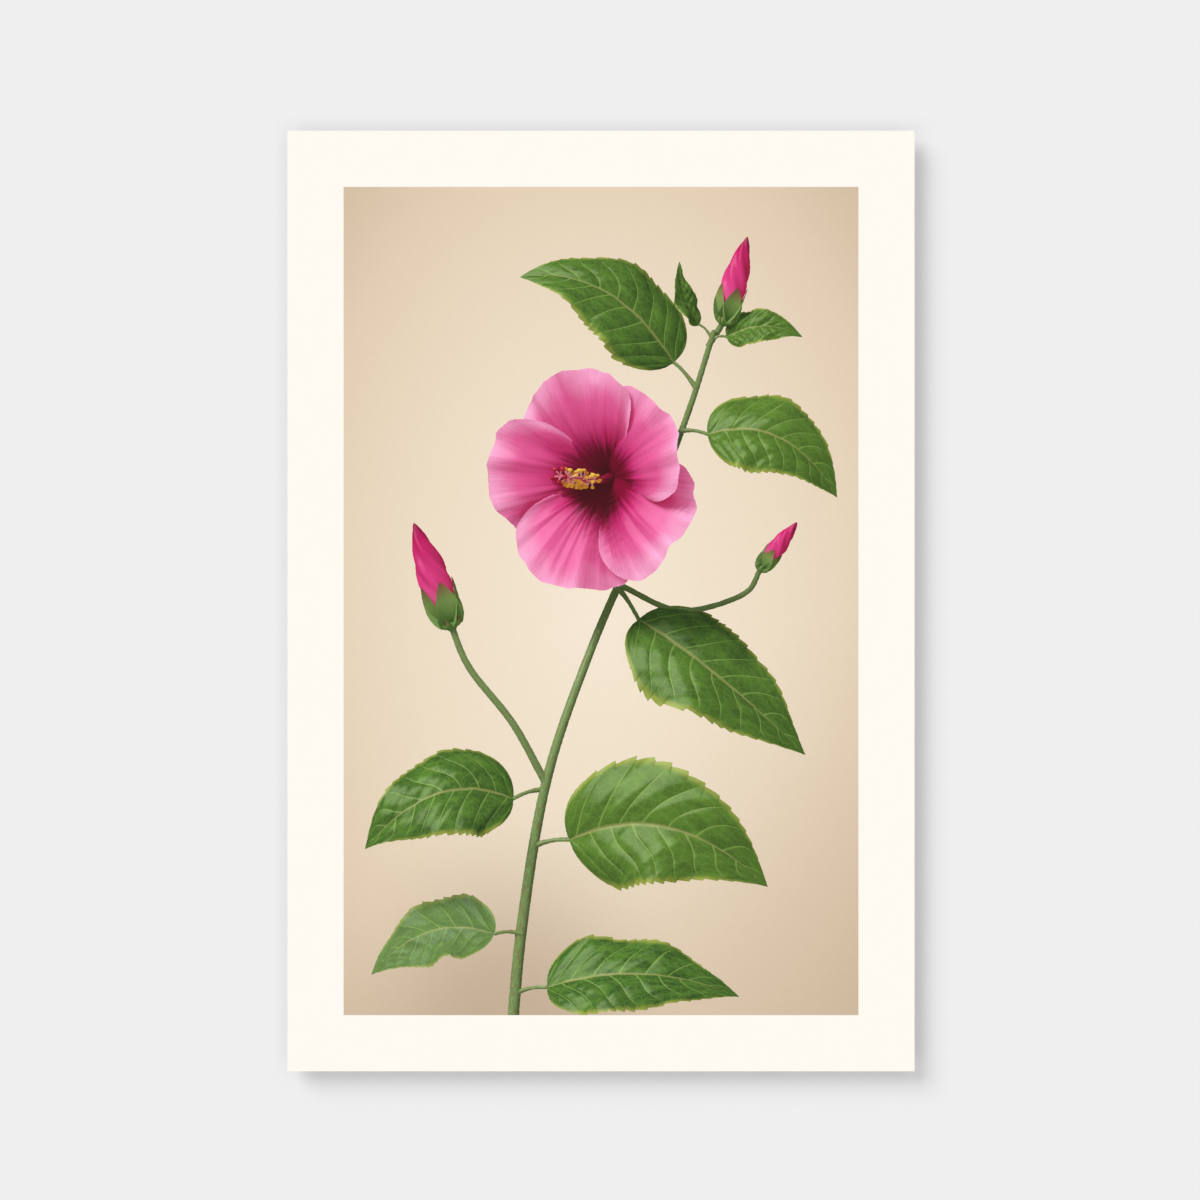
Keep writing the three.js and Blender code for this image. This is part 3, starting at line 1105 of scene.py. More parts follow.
def mapSheet(mesh, places, onWall, onBack):
    across, height = sheetHigh[0] - sheetLow[0], sheetHigh[2] - sheetLow[2]
    share = (places - sheetLow) / (sheetHigh - sheetLow)
    chart = np.stack([share[:, 0] * across / height, share[:, 2]], 1)
    corner, size = np.array(sheetMap["backCorner"]), np.array(sheetMap["backSize"])
    chart[onBack] = corner + share[onBack][:, [0, 2]] * size
    edges = share[onWall].reshape(-1, 4, 3)
    middles = edges.mean(1)
    upright = (np.abs(middles[:, 0] - 0.5) > 0.499)[:, None]
    far = ((middles[:, 0] + middles[:, 2]) > 1)[:, None]
    along = np.where(upright, edges[..., 2], edges[..., 0] * across / height)
    along = along * sheetMap["edgeScale"] + sheetMap["edgeStart"]
    strip = sheetMap["firstEdge"] + sheetMap["edgePitch"] * (2 * ~upright + far)
    chart[onWall] = np.stack([strip + sheetMap["edgeWidth"] * edges[..., 1], along], -1).reshape(-1, 2)
    mesh.uv_layers.new(name="OFBake").data.foreach_set("uv", chart.astype(np.float32).ravel())


def buildSheet(canvas, light, materials):
    faces = sheetFaces(canvas.label, np.concatenate([canvas.place, light], -1))
    marked = faces["marked"]
    wide, tall = marked.shape
    used, joined = np.unique(np.concatenate([faces["quads"].ravel(), faces["fans"][:, :2].ravel()]),
                             return_inverse=True)
    points = np.stack([used // tall, used % tall], 1).astype(float)
    hubs = len(used) - 1 - faces["fans"][:, 2]
    quads = joined[:faces["quads"].size].reshape(-1, 4)
    fans = np.column_stack([joined[faces["quads"].size:].reshape(-1, 2), hubs])
    flat = np.concatenate([points, faces["hubs"]]) * pitch * mm / 2
    cellMargin = sheet["margin"] * sheet["steps"] * pitch * mm
    for axis, size in enumerate((sheetHigh - sheetLow)[[0, 2]]):
        flat[:, axis] = np.interp(flat[:, axis], [0, cellMargin, size - cellMargin, size],
                                  [0, sheet["marginWidth"], size - sheet["marginWidth"], size])
    front = np.insert(flat + sheetLow[[0, 2]], 1, sheetLow[1], axis=1)

    # The cut edges and the back
    walk = ([(i, 0) for i in range(wide - 1)] + [(wide - 1, j) for j in range(tall - 1)]
            + [(i, tall - 1) for i in range(wide - 1, 0, -1)] + [(0, j) for j in range(tall - 1, 0, -1)])
    rim = np.searchsorted(used, [i * tall + j for i, j in walk if marked[i, j]])
    back = front[rim]
    back[:, 1] = sheetHigh[1]
    behind = np.append(back, [[sheetCentre[0], sheetHigh[1], sheetCentre[2]]], axis=0)
    following = np.roll(rim, -1)
    backIndex = len(front) + np.arange(len(rim))
    walls = np.stack([following, rim, backIndex, np.roll(backIndex, -1)], 1)
    backFans = np.stack([np.roll(backIndex, -1), backIndex, np.full(len(rim), len(front) + len(rim))], 1)

    allQuads = np.concatenate([quads, walls])
    allFans = np.concatenate([fans, backFans])
    mesh = bpy.data.meshes.new("printed_sheet")
    vertices = np.concatenate([front, behind])
    loops = np.concatenate([allQuads.ravel(), allFans.ravel()])
    sizes = np.concatenate([np.full(len(allQuads), 4), np.full(len(allFans), 3)])
    mesh.vertices.add(len(vertices))
    mesh.vertices.foreach_set("co", vertices.astype(np.float32).ravel())
    mesh.loops.add(len(loops))
    mesh.loops.foreach_set("vertex_index", loops.astype(np.int32))
    mesh.polygons.add(len(sizes))
    mesh.polygons.foreach_set("loop_start", (np.cumsum(sizes) - sizes).astype(np.int32))
    inkOrder = list(materials)
    inkOf = np.array([inkOrder.index(ink) for ink in canvas.inks])
    ink = np.concatenate([inkOf[faces["quadLabels"]], np.zeros(len(walls), int),
                          inkOf[faces["fanLabels"]], np.zeros(len(backFans), int)])
    mesh.polygons.foreach_set("material_index", ink.astype(np.int32))
    fields = np.concatenate([faces["quadFields"].reshape(-1, 6), np.zeros((walls.size, 6)),
                             faces["fanFields"].reshape(-1, 6), np.zeros((backFans.size, 6))])
    for name, columns in (("inkPlace", slice(0, 3)), ("inkLight", slice(3, 6))):
        mesh.attributes.new(name, "FLOAT_VECTOR", "CORNER").data.foreach_set(
            "vector", fields[:, columns].astype(np.float32).ravel())
    mesh.update(calc_edges=True)
    mesh.shade_flat()

    face = np.arange(len(sizes))
    isWall = (face >= len(quads)) & (face < len(allQuads))
    isBack = face >= len(allQuads) + len(fans)
    mapSheet(mesh, vertices[loops], np.repeat(isWall, sizes), np.repeat(isBack, sizes))
    for material in materials.values():
        mesh.materials.append(material)
    piece = bpy.data.objects.new("printed_sheet", mesh)
    bpy.context.collection.objects.link(piece)
    print("sheet", len(allQuads), "quads and", len(allFans), "triangles")
    return piece


# Paper and inks
paper = {
    "colour": (254, 250, 241),
    "cloudScale": 60,
    "cloud": 0.992,             # how bright it still is where it's darkest
    "toothScale": 1100,
    "toothStrength": 0.5,
    "tooth": 0.00004,
    "roughness": 0.92,
    "inkRoughness": 0.85,
    "inkBrightest": 0.93,
    "shine": 0.2,
}


def paperTooth(graph):
    tooth = graph.noise(graph.place(), paper["toothScale"], 3, 0.6)
    return graph.bump(tooth, paper["toothStrength"], paper["tooth"])


def startInk(name):
    return startMaterial("ink_" + name, Roughness=paper["inkRoughness"], Specular_IOR_Level=paper["shine"])


def paperMaterial():
    fixed = {"Roughness": paper["roughness"], "Specular_IOR_Level": paper["shine"]}
    material, graph, sockets = startMaterial("cotton_paper", **fixed)
    cloud = graph.noise(graph.place(), paper["cloudScale"], 3)
    white = seenAs(*paper["colour"])
    graph.feed(sockets["Base Color"], graph.mix(cloud, tuple(v * paper["cloud"] for v in white), white))
    graph.feed(sockets["Normal"], paperTooth(graph))
    return material


# The picture's ground: brightest a little below the middle, with a soft shade at the lower right
# and another beside the stem's foot
ground = {
    "brightest": (-0.002, -0.005),      # metres from the sheet's middle, across and up
    "reach": (0.241, 0.379),
    "tones": [(0, (245, 231, 210)), (0.5, (236, 219, 195)), (0.8, (225, 205, 179)), (1, (210, 188, 161))],
    "lowRight": (194, 170, 143),
    "lowRightShare": 0.42,
    "lowRightSlope": (2.2, 3.0),        # how fast the shade deepens to the right, and downwards
    "lowRightFade": (0.25, 1.15),
    "foot": (-0.062, -0.275),
    "footTone": (170, 145, 119),
    "footShare": 0.55,
    "footReach": (0.015, 0.125),
    "footStretch": (1, 1.25),
    "darkest": 0.945,
    "weaveScale": 1500,
    "weaveLength": 0.35,
    "weave": 0.028,
    "mottleScale": 420,
    "mottle": 0.055,
}


def backdropInk():
    material, graph, sockets = startInk("backdrop")
    place = graph.place()
    x, z = graph.split(place)[::2]
    z = z - sheetCentre[2]

    def distance(centre, reach):
        across, up = (x - centre[0]) / reach[0], (z - centre[1]) / reach[1]
        return graph.work("SQRT", across * across + up * up)

    colour = graph.ramp(distance(ground["brightest"], ground["reach"]),
                        [(share, seenAs(*tone)) for share, tone in ground["tones"]])
    right, down = ground["lowRightSlope"]
    low = graph.step(*ground["lowRightFade"], x * right - z * down)
    colour = graph.mix(low * ground["lowRightShare"], colour, seenAs(*ground["lowRight"]))
    beside = 1 - graph.step(*ground["footReach"], distance(ground["foot"], ground["footStretch"]))
    colour = graph.mix(beside * ground["footShare"], colour, seenAs(*ground["footTone"]))
    level = graph.noise(graph.vector(x * ground["weaveLength"], 0, z), ground["weaveScale"], 1)
    upright = graph.noise(graph.vector(x, 0, z * ground["weaveLength"]), ground["weaveScale"], 1)
    weave = level + upright
    mottle = graph.noise(place, ground["mottleScale"], 4, 0.65)
    brightness = ground["darkest"] + weave * ground["weave"] + mottle * ground["mottle"]
    graph.feed(sockets["Base Color"], colour * brightness)
    graph.feed(sockets["Normal"], paperTooth(graph))
    return material


def ink(name, dye, shine, through=(0, 0, 0), bounce=0.5):
    # dye gives the colour of the thing pictured, to which the light that falls on it there is added
    material, graph, sockets = startInk(name)
    u, v, tone = graph.split(graph.attribute("inkPlace"))
    light, gloss, glow = graph.split(graph.attribute("inkLight"))
    colour = dye(graph, u, v, tone)
    # In a hollow the light comes off the thing itself, so its shadows are deep in colour and not grey
    lit = colour * light + colour * colour * (graph.work("MAXIMUM", 1 - light, 0.0) * bounce)
    lit = lit + gloss * shine + colour * through * glow
    graph.feed(sockets["Base Color"], graph.least(lit, paper["inkBrightest"]))
    graph.feed(sockets["Normal"], paperTooth(graph))
    return material


def grained(colour, grain, brightness):
    least, more = brightness
    return colour * (least + grain * more)


# Petal colours from foot to tip. A grain gives the brightness where it's darkest, and what it adds
petalTones = {
    "body": [(0.1, (172, 14, 80)), (0.42, (204, 44, 116)), (0.76, (228, 96, 154)), (1, (246, 164, 202))],
    "bodyGrain": (0.76, 0.48),
    "blush": 0.35,
    "eye": (126, 4, 44),
    "eyeFrom": (0.10, 0.30),        # along the petal, and how much further a streak takes it
    "eyeTo": (0.20, 0.62),
    "under": [(0, (206, 110, 142)), (0.5, (224, 92, 158)), (1, (238, 134, 188))],
    "underGrain": (0.8, 0.4),
    "bud": [(0, (226, 120, 160)), (0.35, (224, 66, 136)), (0.8, (196, 30, 100)), (1, (140, 14, 60))],
    "budGrain": (0.78, 0.44),
}


def petalDye(graph, u, v, tone):
    streaks = graph.noise(graph.vector(v * 8, u * 0.9, tone * 31), 2.2, 4, 0.6)
    fine = graph.noise(graph.vector(v * 34, u * 1.6, tone * 17), 2.0, 3, 0.6)
    blush = graph.noise(graph.vector(v, u, tone * 9), 2.6, 2)
    body = graph.ramp(u + (blush - 0.5) * petalTones["blush"], tones(petalTones["body"]))
    start, end = (least + streaks * more for least, more in (petalTones["eyeFrom"], petalTones["eyeTo"]))
    colour = graph.mix(1 - graph.step(start, end, u), body, srgb(*petalTones["eye"]))
    return grained(colour, fine, petalTones["bodyGrain"])


def petalUnderDye(graph, u, v, tone):
    fine = graph.noise(graph.vector(v * 22, u * 1.4, tone * 17), 2.0, 3, 0.6)
    return grained(graph.ramp(u, tones(petalTones["under"])), fine, petalTones["underGrain"])


def budPetalDye(graph, u, v, tone):
    fine = graph.noise(graph.vector(v * 5, u * 5, tone * 17), 3.0, 4, 0.6)
    return grained(graph.ramp(u, tones(petalTones["bud"])), fine, petalTones["budGrain"])


# Dark and light lie in patches, and each colour after them comes with how much of it covers those before
leafTones = {
    "dark": (50, 84, 29),
    "light": (84, 125, 44),
    "older": ((110, 142, 48), 0.4),
    "net": ((118, 156, 72), 0.28),
    "veins": ((136, 166, 82), 0.7),
    "midrib": ((150, 154, 90), 0.85),
    "margin": ((166, 172, 76), 0.7),
    "under": (0.75, (74, 88, 58)),      # share of the upper side's colour, and what is added
}


def leafDye(graph, u, v, tone):
    away = graph.work("ABSOLUTE", v)
    low, less = leafForm["veinReach"]
    along, across, others = leafForm["swayWaves"]
    sway = graph.work("SINE", u * along + v * across + tone * others) * leafForm["veinSway"]
    sway = sway + graph.work("SIGN", v) * leafForm["veinStagger"]
    climb = away ** leafForm["veinCurve"] * (low - less * u)
    vein = graph.work("PINGPONG", u * leafForm["veins"] - climb + sway, 0.5)
    veins = (1 - graph.step(0.01, 0.07 - away * 0.05, vein)) * (1 - graph.step(0.75, 1, away))
    midrib = 1 - graph.step(0.012, 0.055, away + u * 0.02)
    net = 1 - graph.step(0, 0.10, graph.voronoi(graph.vector(u * 26, v * 8, tone * 5), "DISTANCE_TO_EDGE"))
    patches = graph.noise(graph.vector(u * 3, v * 1.6, tone * 7), 2.4, 4, 0.6)
    margin = graph.step(0.88, 1.0, away + (patches - 0.5) * 0.16)
    colour = graph.mix(graph.step(0.3, 0.75, patches), srgb(*leafTones["dark"]), srgb(*leafTones["light"]))
    layers = {"older": tone, "net": net, "veins": veins, "midrib": midrib, "margin": margin}
    for name, cover in layers.items():
        layer, share = leafTones[name]
        colour = graph.mix(cover * share, colour, srgb(*layer))
    return colour


def leafUnderDye(graph, u, v, tone):
    share, added = leafTones["under"]
    return leafDye(graph, u, v, tone) * share + srgb(*added)


# The other green parts, and the column
stemTones = {
    "sepal": [(0, (112, 150, 78)), (0.6, (136, 162, 88)), (1, (132, 84, 62))],
    "sepalMottle": 0.3,
    "green": (122, 156, 92),
    "bark": (128, 116, 76),
    "dots": (196, 196, 156),
    "dotShare": 0.45,
    "column": [(0, (88, 4, 30)), (0.14, (150, 14, 60)), (0.35, (206, 60, 110)), (1, (236, 140, 166))],
    "columnScale": 0.13,        # from centimetres to shares of its length
}


def sepalDye(graph, u, v, tone):
    fine = graph.noise(graph.vector(v * 6, u * 2, tone * 11), 2.0, 3)
    return graph.ramp(u + (fine - 0.5) * stemTones["sepalMottle"], tones(stemTones["sepal"]))


def stemDye(graph, u, v, tone):
    bark = graph.noise(graph.vector(u * 0.9, v * 6, tone * 9), 2.4, 4, 0.6)
    colour = graph.mix(graph.step(0.35, 0.75, bark), srgb(*stemTones["green"]), srgb(*stemTones["bark"]))
    dots = 1 - graph.step(0.10, 0.20, graph.voronoi(graph.vector(u * 3.2, v * 2.6, tone)))
    return graph.mix(dots * stemTones["dotShare"], colour, srgb(*stemTones["dots"]))


def columnDye(graph, u, v, tone):
    return graph.ramp(u * stemTones["columnScale"], tones(stemTones["column"]))


def plainDye(low, high):
    def dye(graph, u, v, tone):
        grain = graph.noise(graph.vector(u * 4, v * 3, tone * 23), 3.0, 2)
        return graph.mix(tone * 0.6 + grain * 0.4, srgb(*low), srgb(*high))
    return dye


inks = {
    "petal": {"dye": petalDye, "shine": (0.10, 0.07, 0.09), "through": (0.75, 0.45, 0.6),
              "bounce": 0.6},
    "petalUnder": {"dye": petalUnderDye, "shine": (0.05, 0.04, 0.05), "through": (0.6, 0.4, 0.5),
                   "bounce": 0.6},
    "budPetal": {"dye": budPetalDye, "shine": (0.10, 0.07, 0.08)},
    "leaf": {"dye": leafDye, "shine": (0.10, 0.12, 0.07), "through": (0.5, 0.6, 0.1)},
    "leafUnder": {"dye": leafUnderDye, "shine": (0.05, 0.06, 0.05), "through": (0.9, 1.0, 0.3)},
    "sepal": {"dye": sepalDye, "shine": (0.08, 0.08, 0.07)},
    "stem": {"dye": stemDye, "shine": (0.10, 0.11, 0.09)},
    "column": {"dye": columnDye, "shine": (0.10, 0.08, 0.09)},
    "filament": {"dye": plainDye((236, 150, 160), (250, 214, 196)), "shine": (0.10, 0.10, 0.10)},
    "anther": {"dye": plainDye((220, 150, 40), (250, 208, 90)), "shine": (0.10, 0.10, 0.06)},
    "style": {"dye": plainDye((214, 90, 120), (232, 150, 160)), "shine": (0.10, 0.08, 0.08)},
    "stigma": {"dye": plainDye((150, 16, 44), (190, 34, 60)), "shine": (0.12, 0.08, 0.08)},
}


def addSheet():
    canvas = paintPlant()
    print("picture painted,", len(canvas.inks), "elements")
    light = lightPlant(canvas)
    print("picture lit")
    materials = {"paper": paperMaterial(), "backdrop": backdropInk()}
    materials.update({name: ink(name, **recipe) for name, recipe in inks.items()})
    piece = buildSheet(canvas, light, materials)
    finishPiece(piece, ["art_print"])


# Metal has a fine grain, in lines where it was rolled or drawn, and smudges that dull it a little
metal = {
    "grainRoughness": 0.6,
    "grainTone": (0.95, 0.10),      # brightness where the grain is darkest, and what it adds
    "grainDulls": 0.10,
    "grainStrength": 0.35,
    "smudgeWarp": 0.4,
    "smudgeTone": 0.97,
    "smudged": (0.45, 0.75),
    "smudgeDulls": 0.035,
}


def metalMaterial(finish):
    material, graph, sockets = startMaterial(finish["name"], Metallic=1.0)
    if "grainMap" in finish:
        place = graph.add("ShaderNodeUVMap", {"uv_map": finish["grainMap"]})
    else:
        place = graph.place()
    lines = graph.noise(graph.stretched(place, finish["grainScale"]), 1.0, 3, finish["grainRoughness"])
    marks = graph.noise(graph.place(), finish["smudgeScale"], 3, 0.55, finish["smudgeWarp"])
    colour = srgb(*finish["colour"])
    bright = graph.mix(marks, tuple(v * finish["smudgeTone"] for v in colour), colour)
    dull = graph.step(*finish["smudged"], marks) * finish["smudgeDulls"]
    graph.feed(sockets["Base Color"], grained(bright, lines, finish["grainTone"]))
    graph.feed(sockets["Roughness"], finish["roughness"] + lines * finish["grainDulls"] + dull)
    graph.feed(sockets["Normal"], graph.bump(lines, finish["grainStrength"], finish["grain"]))
    return material


# The core, the screws and the pads are mottled between two colours, and duller where they're lighter
def mottledMaterial(name, mottled, pattern, relief, **fixed):
    material, graph, sockets = startMaterial(name, **fixed)
    mottle = pattern(graph)
    dark, light = mottled["colours"]
    least, more = mottled["roughness"]
    graph.feed(sockets["Base Color"], graph.mix(mottle, srgb(*dark), srgb(*light)))
    graph.feed(sockets["Roughness"], least + mottle * more)
    height = relief(graph) if relief else mottle
    graph.feed(sockets["Normal"], graph.bump(height, mottled["reliefStrength"], mottled["relief"]))
    return material


def dressNode(node, material):
    for place in bpy.data.objects[node].material_slots:
        place.material = material


def finishPiece(piece, nodes):
    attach(piece, "root")
    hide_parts(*nodes)


# The board: two rolled aluminium skins on a dark plastic core, whose cut edge shows
board = {
    "skin": dict(metal, name="rolled_aluminium", colour=(214, 216, 218), roughness=0.34,
                 grainScale=(60, 60, 1400), grain=0.00003, smudgeScale=26),
    "core": {
        "colours": ((32, 33, 36), (62, 63, 66)),
        "roughness": (0.6, 0.25),
        "cutScale": (900, 120, 900),
        "reliefStrength": 0.6,
        "relief": 0.00008,
    },
}


def addBoard():
    skin = metalMaterial(board["skin"])
    for node in ("board_front_skin", "board_back_skin"):
        dressNode(node, skin)

    def cuts(graph):
        return graph.noise(graph.stretched(graph.place(), board["core"]["cutScale"]), 1.0, 3, 0.6)

    dressNode("board_core", mottledMaterial("sawn_core", board["core"], cuts, None))


# The rails: mitred channels with softened edges, a lip on either side of a slot towards the wall
rail = {
    "wall": 0.0015,
    "lip": 0.005,
    "softening": 0.0003,
    "arcSteps": 3,
    "sharpFrom": 40,          # degrees
    "finish": dict(metal, name="satin_aluminium", colour=(204, 206, 209), roughness=0.33, grainMap="grain",
                   grainScale=(14, 5200, 0), grain=0.00002, grainStrength=0.4, grainRoughness=0.65,
                   grainTone=(0.93, 0.14), smudgeScale=38, smudgeWarp=0.3, smudgeTone=0.90,
                   smudged=(0.5, 0.8), smudgeDulls=0.08),
}


def softened(outline, radius, steps):
    points = []
    for before, corner, after in zip(outline[-1:] + outline[:-1], outline, outline[1:] + outline[:1]):
        back, on = unit(np.subtract(before, corner)) * radius, unit(np.subtract(after, corner)) * radius
        for k in range(steps + 1):
            turn = k / steps * math.pi / 2
            points.append(np.array(corner) + back + on - on * math.cos(turn) - back * math.sin(turn))
    return np.array(points)


def railOutline(width, front, back):
    # How far in from the frame's outer side, and the plane along Y
    wall, lip = rail["wall"], rail["lip"]
    return [(0, front), (width, front), (width, back), (width - lip, back), (width - lip, back - wall),
            (width - wall, back - wall), (width - wall, front + wall), (wall, front + wall),
            (wall, back - wall), (lip, back - wall), (lip, back), (0, back)]


def addRail(side, turn, material):
    node = "rail_" + side
    low, high = (np.array(corner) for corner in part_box(node))
    upright = turn % 2 == 0
    width, length = (high - low)[[0, 2]] if upright else (high - low)[[2, 0]]
    section = softened(railOutline(width, low[1], high[1]), rail["softening"], rail["arcSteps"])
    half = length / 2 - section[:, 0]           # the ends are cut at 45 degrees
    ends = [np.column_stack([section, sign * half]) for sign in (-1, 1)]
    points = np.concatenate(ends)
    points[:, 0] -= width / 2
    if not upright:
        points = points[:, [2, 1, 0]] * (1, 1, -1)
    if turn > 1:
        points = points * (-1, 1, -1)
    count = len(section)
    faces = [(k, (k + 1) % count, (k + 1) % count + count, k + count) for k in range(count)]
    faces += [tuple(range(count)), tuple(range(2 * count - 1, count - 1, -1))]
    mesh = bpy.data.meshes.new("channel_" + side)
    mesh.from_pydata(points + (low + high) * (0.5, 0, 0.5), [], faces)
    working = bmesh.new()
    working.from_mesh(mesh)
    bmesh.ops.recalc_face_normals(working, faces=working.faces)
    working.to_mesh(mesh)
    working.free()
    around = np.concatenate([[0], np.cumsum(np.linalg.norm(np.diff(section, axis=0), axis=1))])
    grain = mesh.uv_layers.new(name="grain")
    for loop in mesh.loops:
        end, place = divmod(loop.vertex_index, count)
        grain.data[loop.index].uv = (end * length, around[place])
    mesh.materials.append(material)
    mesh.shade_smooth()
    mesh.set_sharp_from_angle(angle=math.radians(rail["sharpFrom"]))
    piece = bpy.data.objects.new("channel_" + side, mesh)
    bpy.context.collection.objects.link(piece)
    finishPiece(piece, [node])


def addRails():
    material = metalMaterial(rail["finish"])
    for turn, side in enumerate(("left", "top", "right", "bottom")):
        addRail(side, turn, material)


# The corners' angle keys
corners = ("top_left", "top_right", "bottom_right", "bottom_left")
cornerKey = dict(metal, name="zinc_plate", colour=(190, 192, 190), roughness=0.3,
                 grainScale=(420, 420, 420), grain=0.00004, smudgeScale=120)


def addKeys():
    material = metalMaterial(cornerKey)
    for corner in corners:
        dressNode("corner_key_" + corner, material)


# What stands at each corner is made by geometry nodes, once, and set on the corners' points
def geometryTree(name, inputs):
    tree = bpy.data.node_groups.new(name, "GeometryNodeTree")
    tree.interface.new_socket("Geometry", in_out="OUTPUT", socket_type="NodeSocketGeometry")
    tree.interface.new_socket("Geometry", in_out="INPUT", socket_type="NodeSocketGeometry")
    for label in inputs:
        kind = "NodeSocketMaterial" if label == "Finish" else "NodeSocketFloat"
        tree.interface.new_socket(label, in_out="INPUT", socket_type=kind)
    graph = Graph(tree)
    source = tree.nodes.new("NodeGroupInput")
    return tree, graph, {socket.name: Wire(graph, socket) for socket in source.outputs if socket.name}


def setOnPoints(graph, given, shape, spin):
    # The shape's own Z turns to the wall, and each copy is turned about it by chance, up to the spin
    placed = graph.add("GeometryNodeInstanceOnPoints", {},
                       {"Points": given["Geometry"], "Instance": shape, "Rotation": (-math.pi / 2, 0, 0)})
    # Inputs 2 and 3 and output 1 are the node's single numbers
    chance = graph.add("FunctionNodeRandomValue", {"data_type": "FLOAT"}, {2: 0.0, 3: spin, "Seed": 4}, 1)
    rotation = graph.vector(0, 0, chance)
    placed = graph.add("GeometryNodeRotateInstances", {}, {0: placed, "Rotation": rotation})
    whole = graph.add("GeometryNodeRealizeInstances", {}, {0: placed})
    dressed = graph.add("GeometryNodeSetMaterial", {}, {"Geometry": whole, "Material": given["Finish"]})
    output = graph.tree.nodes.new("NodeGroupOutput")
    graph.feed(output.inputs[0], dressed)


def growOnPoints(name, tree, points, values, sharpFrom):
    mesh = bpy.data.meshes.new(name)
    mesh.from_pydata(points, [], [])
    seed = bpy.data.objects.new(name, mesh)
    bpy.context.collection.objects.link(seed)
    modifier = seed.modifiers.new("grow", "NODES")
    modifier.node_group = tree
    for socket in tree.interface.items_tree:
        if socket.name in values:
            modifier[socket.identifier] = values[socket.name]
    evaluated = seed.evaluated_get(bpy.context.evaluated_depsgraph_get())
    plain = bpy.data.meshes.new_from_object(evaluated)
    seed.modifiers.clear()
    seed.data = plain
    plain.shade_smooth()
    plain.set_sharp_from_angle(angle=math.radians(sharpFrom))
    return seed


# Grub screws: threaded, chamfered at both ends, with a hexagon socket in the one that faces the wall
screw = {
    "inputs": {"Radius": 0.0025, "Pitch": 0.0008, "Thread": 0.00035, "Chamfer": 0.0006,
               "Socket Radius": 0.00145, "Socket Depth": 0.0025},
    "sidesAround": 40,
    "sidesAlong": 40,
    "sharpFrom": 30,          # degrees
    "colours": ((52, 52, 56), (84, 84, 90)),
    "roughness": (0.34, 0.2),
    "mottleScale": 900,
    "reliefStrength": 0.3,
    "relief": 0.00003,
}


def screwTree():
    tree, graph, given = geometryTree("grub_screw", ["Radius", "Length", "Pitch", "Thread", "Chamfer",
                                                     "Socket Radius", "Socket Depth", "Finish"])
    shank = graph.add("GeometryNodeMeshCylinder", {},
                      {"Vertices": screw["sidesAround"], "Side Segments": screw["sidesAlong"],
                       "Radius": given["Radius"], "Depth": given["Length"]})
    x, y, z = graph.split(graph.add("GeometryNodeInputPosition"))
    turn = graph.work("ARCTAN2", y, x) / (2 * math.pi)
    groove = graph.work("PINGPONG", z / given["Pitch"] - turn, 0.5) * 2
    away = graph.work("ABSOLUTE", z) - (given["Length"] * 0.5 - given["Chamfer"])
    taper = graph.work("MAXIMUM", away / given["Chamfer"], 0.0)
    slim = 1 - graph.work("MAXIMUM", groove, taper) * given["Thread"] / given["Radius"]
    threaded = graph.add("GeometryNodeSetPosition", {},
                         {"Geometry": shank, "Position": graph.vector(x * slim, y * slim, z)})
    key = graph.add("GeometryNodeMeshCylinder", {}, {"Vertices": 6, "Radius": given["Socket Radius"],
                                                     "Depth": given["Socket Depth"] * 2})
    top = graph.vector(0, 0, given["Length"] * 0.5)
    key = graph.add("GeometryNodeTransform", {}, {"Geometry": key, "Translation": top})
    whole = graph.add("GeometryNodeMeshBoolean", {"operation": "DIFFERENCE", "solver": "EXACT"},
                      {"Mesh 1": threaded, "Mesh 2": key})
    setOnPoints(graph, given, whole, 2 * math.pi)
    return tree


def addScrews():
    def mottle(graph):
        return graph.noise(graph.place(), screw["mottleScale"], 4, 0.6)

    finish = mottledMaterial("blackened_steel", screw, mottle, None, Metallic=1.0)
    nodes = [f"grub_screw_{corner}_{number}" for corner in corners for number in (1, 2)]
    boxes = [[Vector(corner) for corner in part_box(node)] for node in nodes]
    middles = [(low + high) / 2 for low, high in boxes]
    values = dict(screw["inputs"], Length=boxes[0][1].y - boxes[0][0].y, Finish=finish)
    piece = growOnPoints("grub_screws", screwTree(), middles, values, screw["sharpFrom"])
    finishPiece(piece, nodes)


# Wall pads: soft discs, flat on top with a rounded shoulder
pad = {
    "inputs": {"Top Radius": 0.0072, "Shoulder": 0.0011},
    "sidesAround": 56,
    "sidesAlong": 3,
    "rings": 12,
    "sharpFrom": 50,          # degrees
    "colours": ((222, 220, 213), (236, 234, 228)),
    "roughness": (0.48, 0.16),
    "shine": 0.35,
    "cloudScale": 240,
    "grainScale": 2600,
    "reliefStrength": 0.3,
    "relief": 0.00003,
}


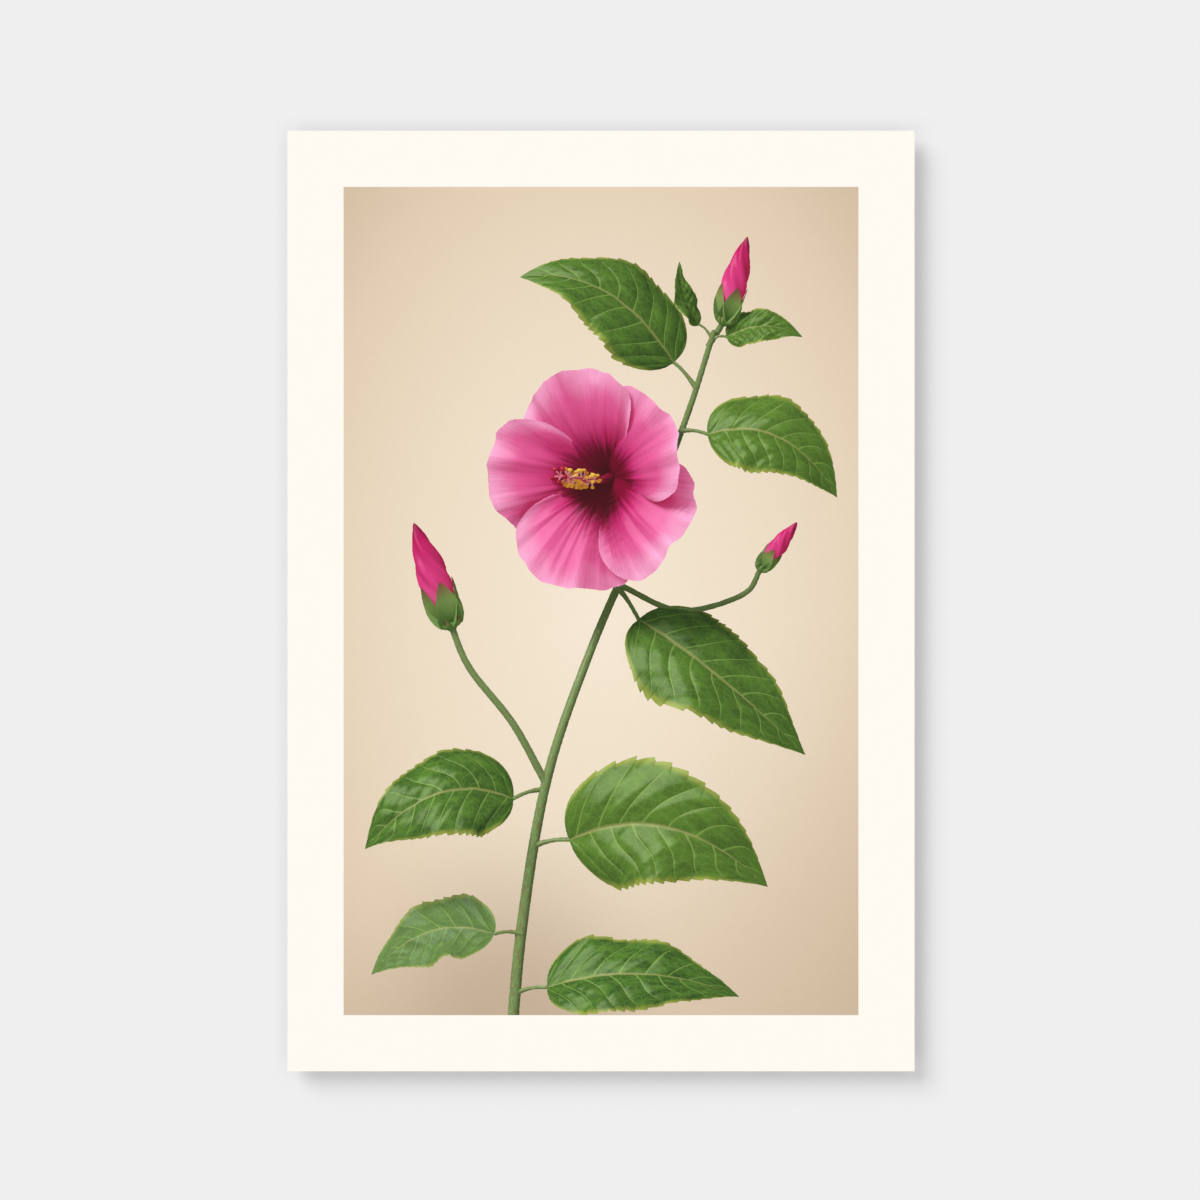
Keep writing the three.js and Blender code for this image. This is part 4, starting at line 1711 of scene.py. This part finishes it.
def padTree():
    # Rings gather towards the rim, where the shoulder is rounded
    tree, graph, given = geometryTree("wall_pad", ["Radius", "Top Radius", "Thickness", "Shoulder",
                                                   "Finish"])
    disc = graph.add("GeometryNodeMeshCylinder", {"fill_type": "TRIANGLE_FAN"},
                     {"Vertices": pad["sidesAround"], "Side Segments": pad["sidesAlong"],
                      "Fill Segments": pad["rings"], "Radius": given["Radius"],
                      "Depth": given["Thickness"]})
    x, y, z = graph.split(graph.add("GeometryNodeInputPosition"))
    away = graph.work("SQRT", x * x + y * y) / given["Radius"]
    spread = graph.work("SINE", away * (math.pi / 2))
    wider = spread / away
    past = (spread * given["Radius"] - given["Top Radius"]) / (given["Radius"] - given["Top Radius"])
    past = graph.work("MINIMUM", graph.work("MAXIMUM", past, 0.0), 1.0)
    bulge = graph.work("SQRT", 1 - past * past)
    crown = given["Shoulder"] + (given["Thickness"] - given["Shoulder"]) * bulge
    rise = (z / given["Thickness"] + 0.5) * crown
    shaped = graph.add("GeometryNodeSetPosition", {},
                       {"Geometry": disc, "Position": graph.vector(x * wider, y * wider, rise)})
    setOnPoints(graph, given, shaped, 0.0)
    return tree


def addPads():
    def cloud(graph):
        return graph.noise(graph.place(), pad["cloudScale"], 3)

    def grain(graph):
        return graph.noise(graph.place(), pad["grainScale"], 2)

    finish = mottledMaterial("soft_rubber", pad, cloud, grain, Specular_IOR_Level=pad["shine"])
    nodes = ["wall_pad_" + corner for corner in corners]
    boxes = [[Vector(corner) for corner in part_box(node)] for node in nodes]
    feet = [Vector(((low.x + high.x) / 2, low.y, (low.z + high.z) / 2)) for low, high in boxes]
    low, high = boxes[0]
    values = dict(pad["inputs"], Radius=(high.x - low.x) / 2, Thickness=high.y - low.y, Finish=finish)
    piece = growOnPoints("wall_pads", padTree(), feet, values, pad["sharpFrom"])
    finishPiece(piece, nodes)


addCamera()
addStage()
addLights()
addRoom()
print("studio ready")
addSheet()
addBoard()
addRails()
addKeys()
addScrews()
addPads()
print("frame and fastenings made")
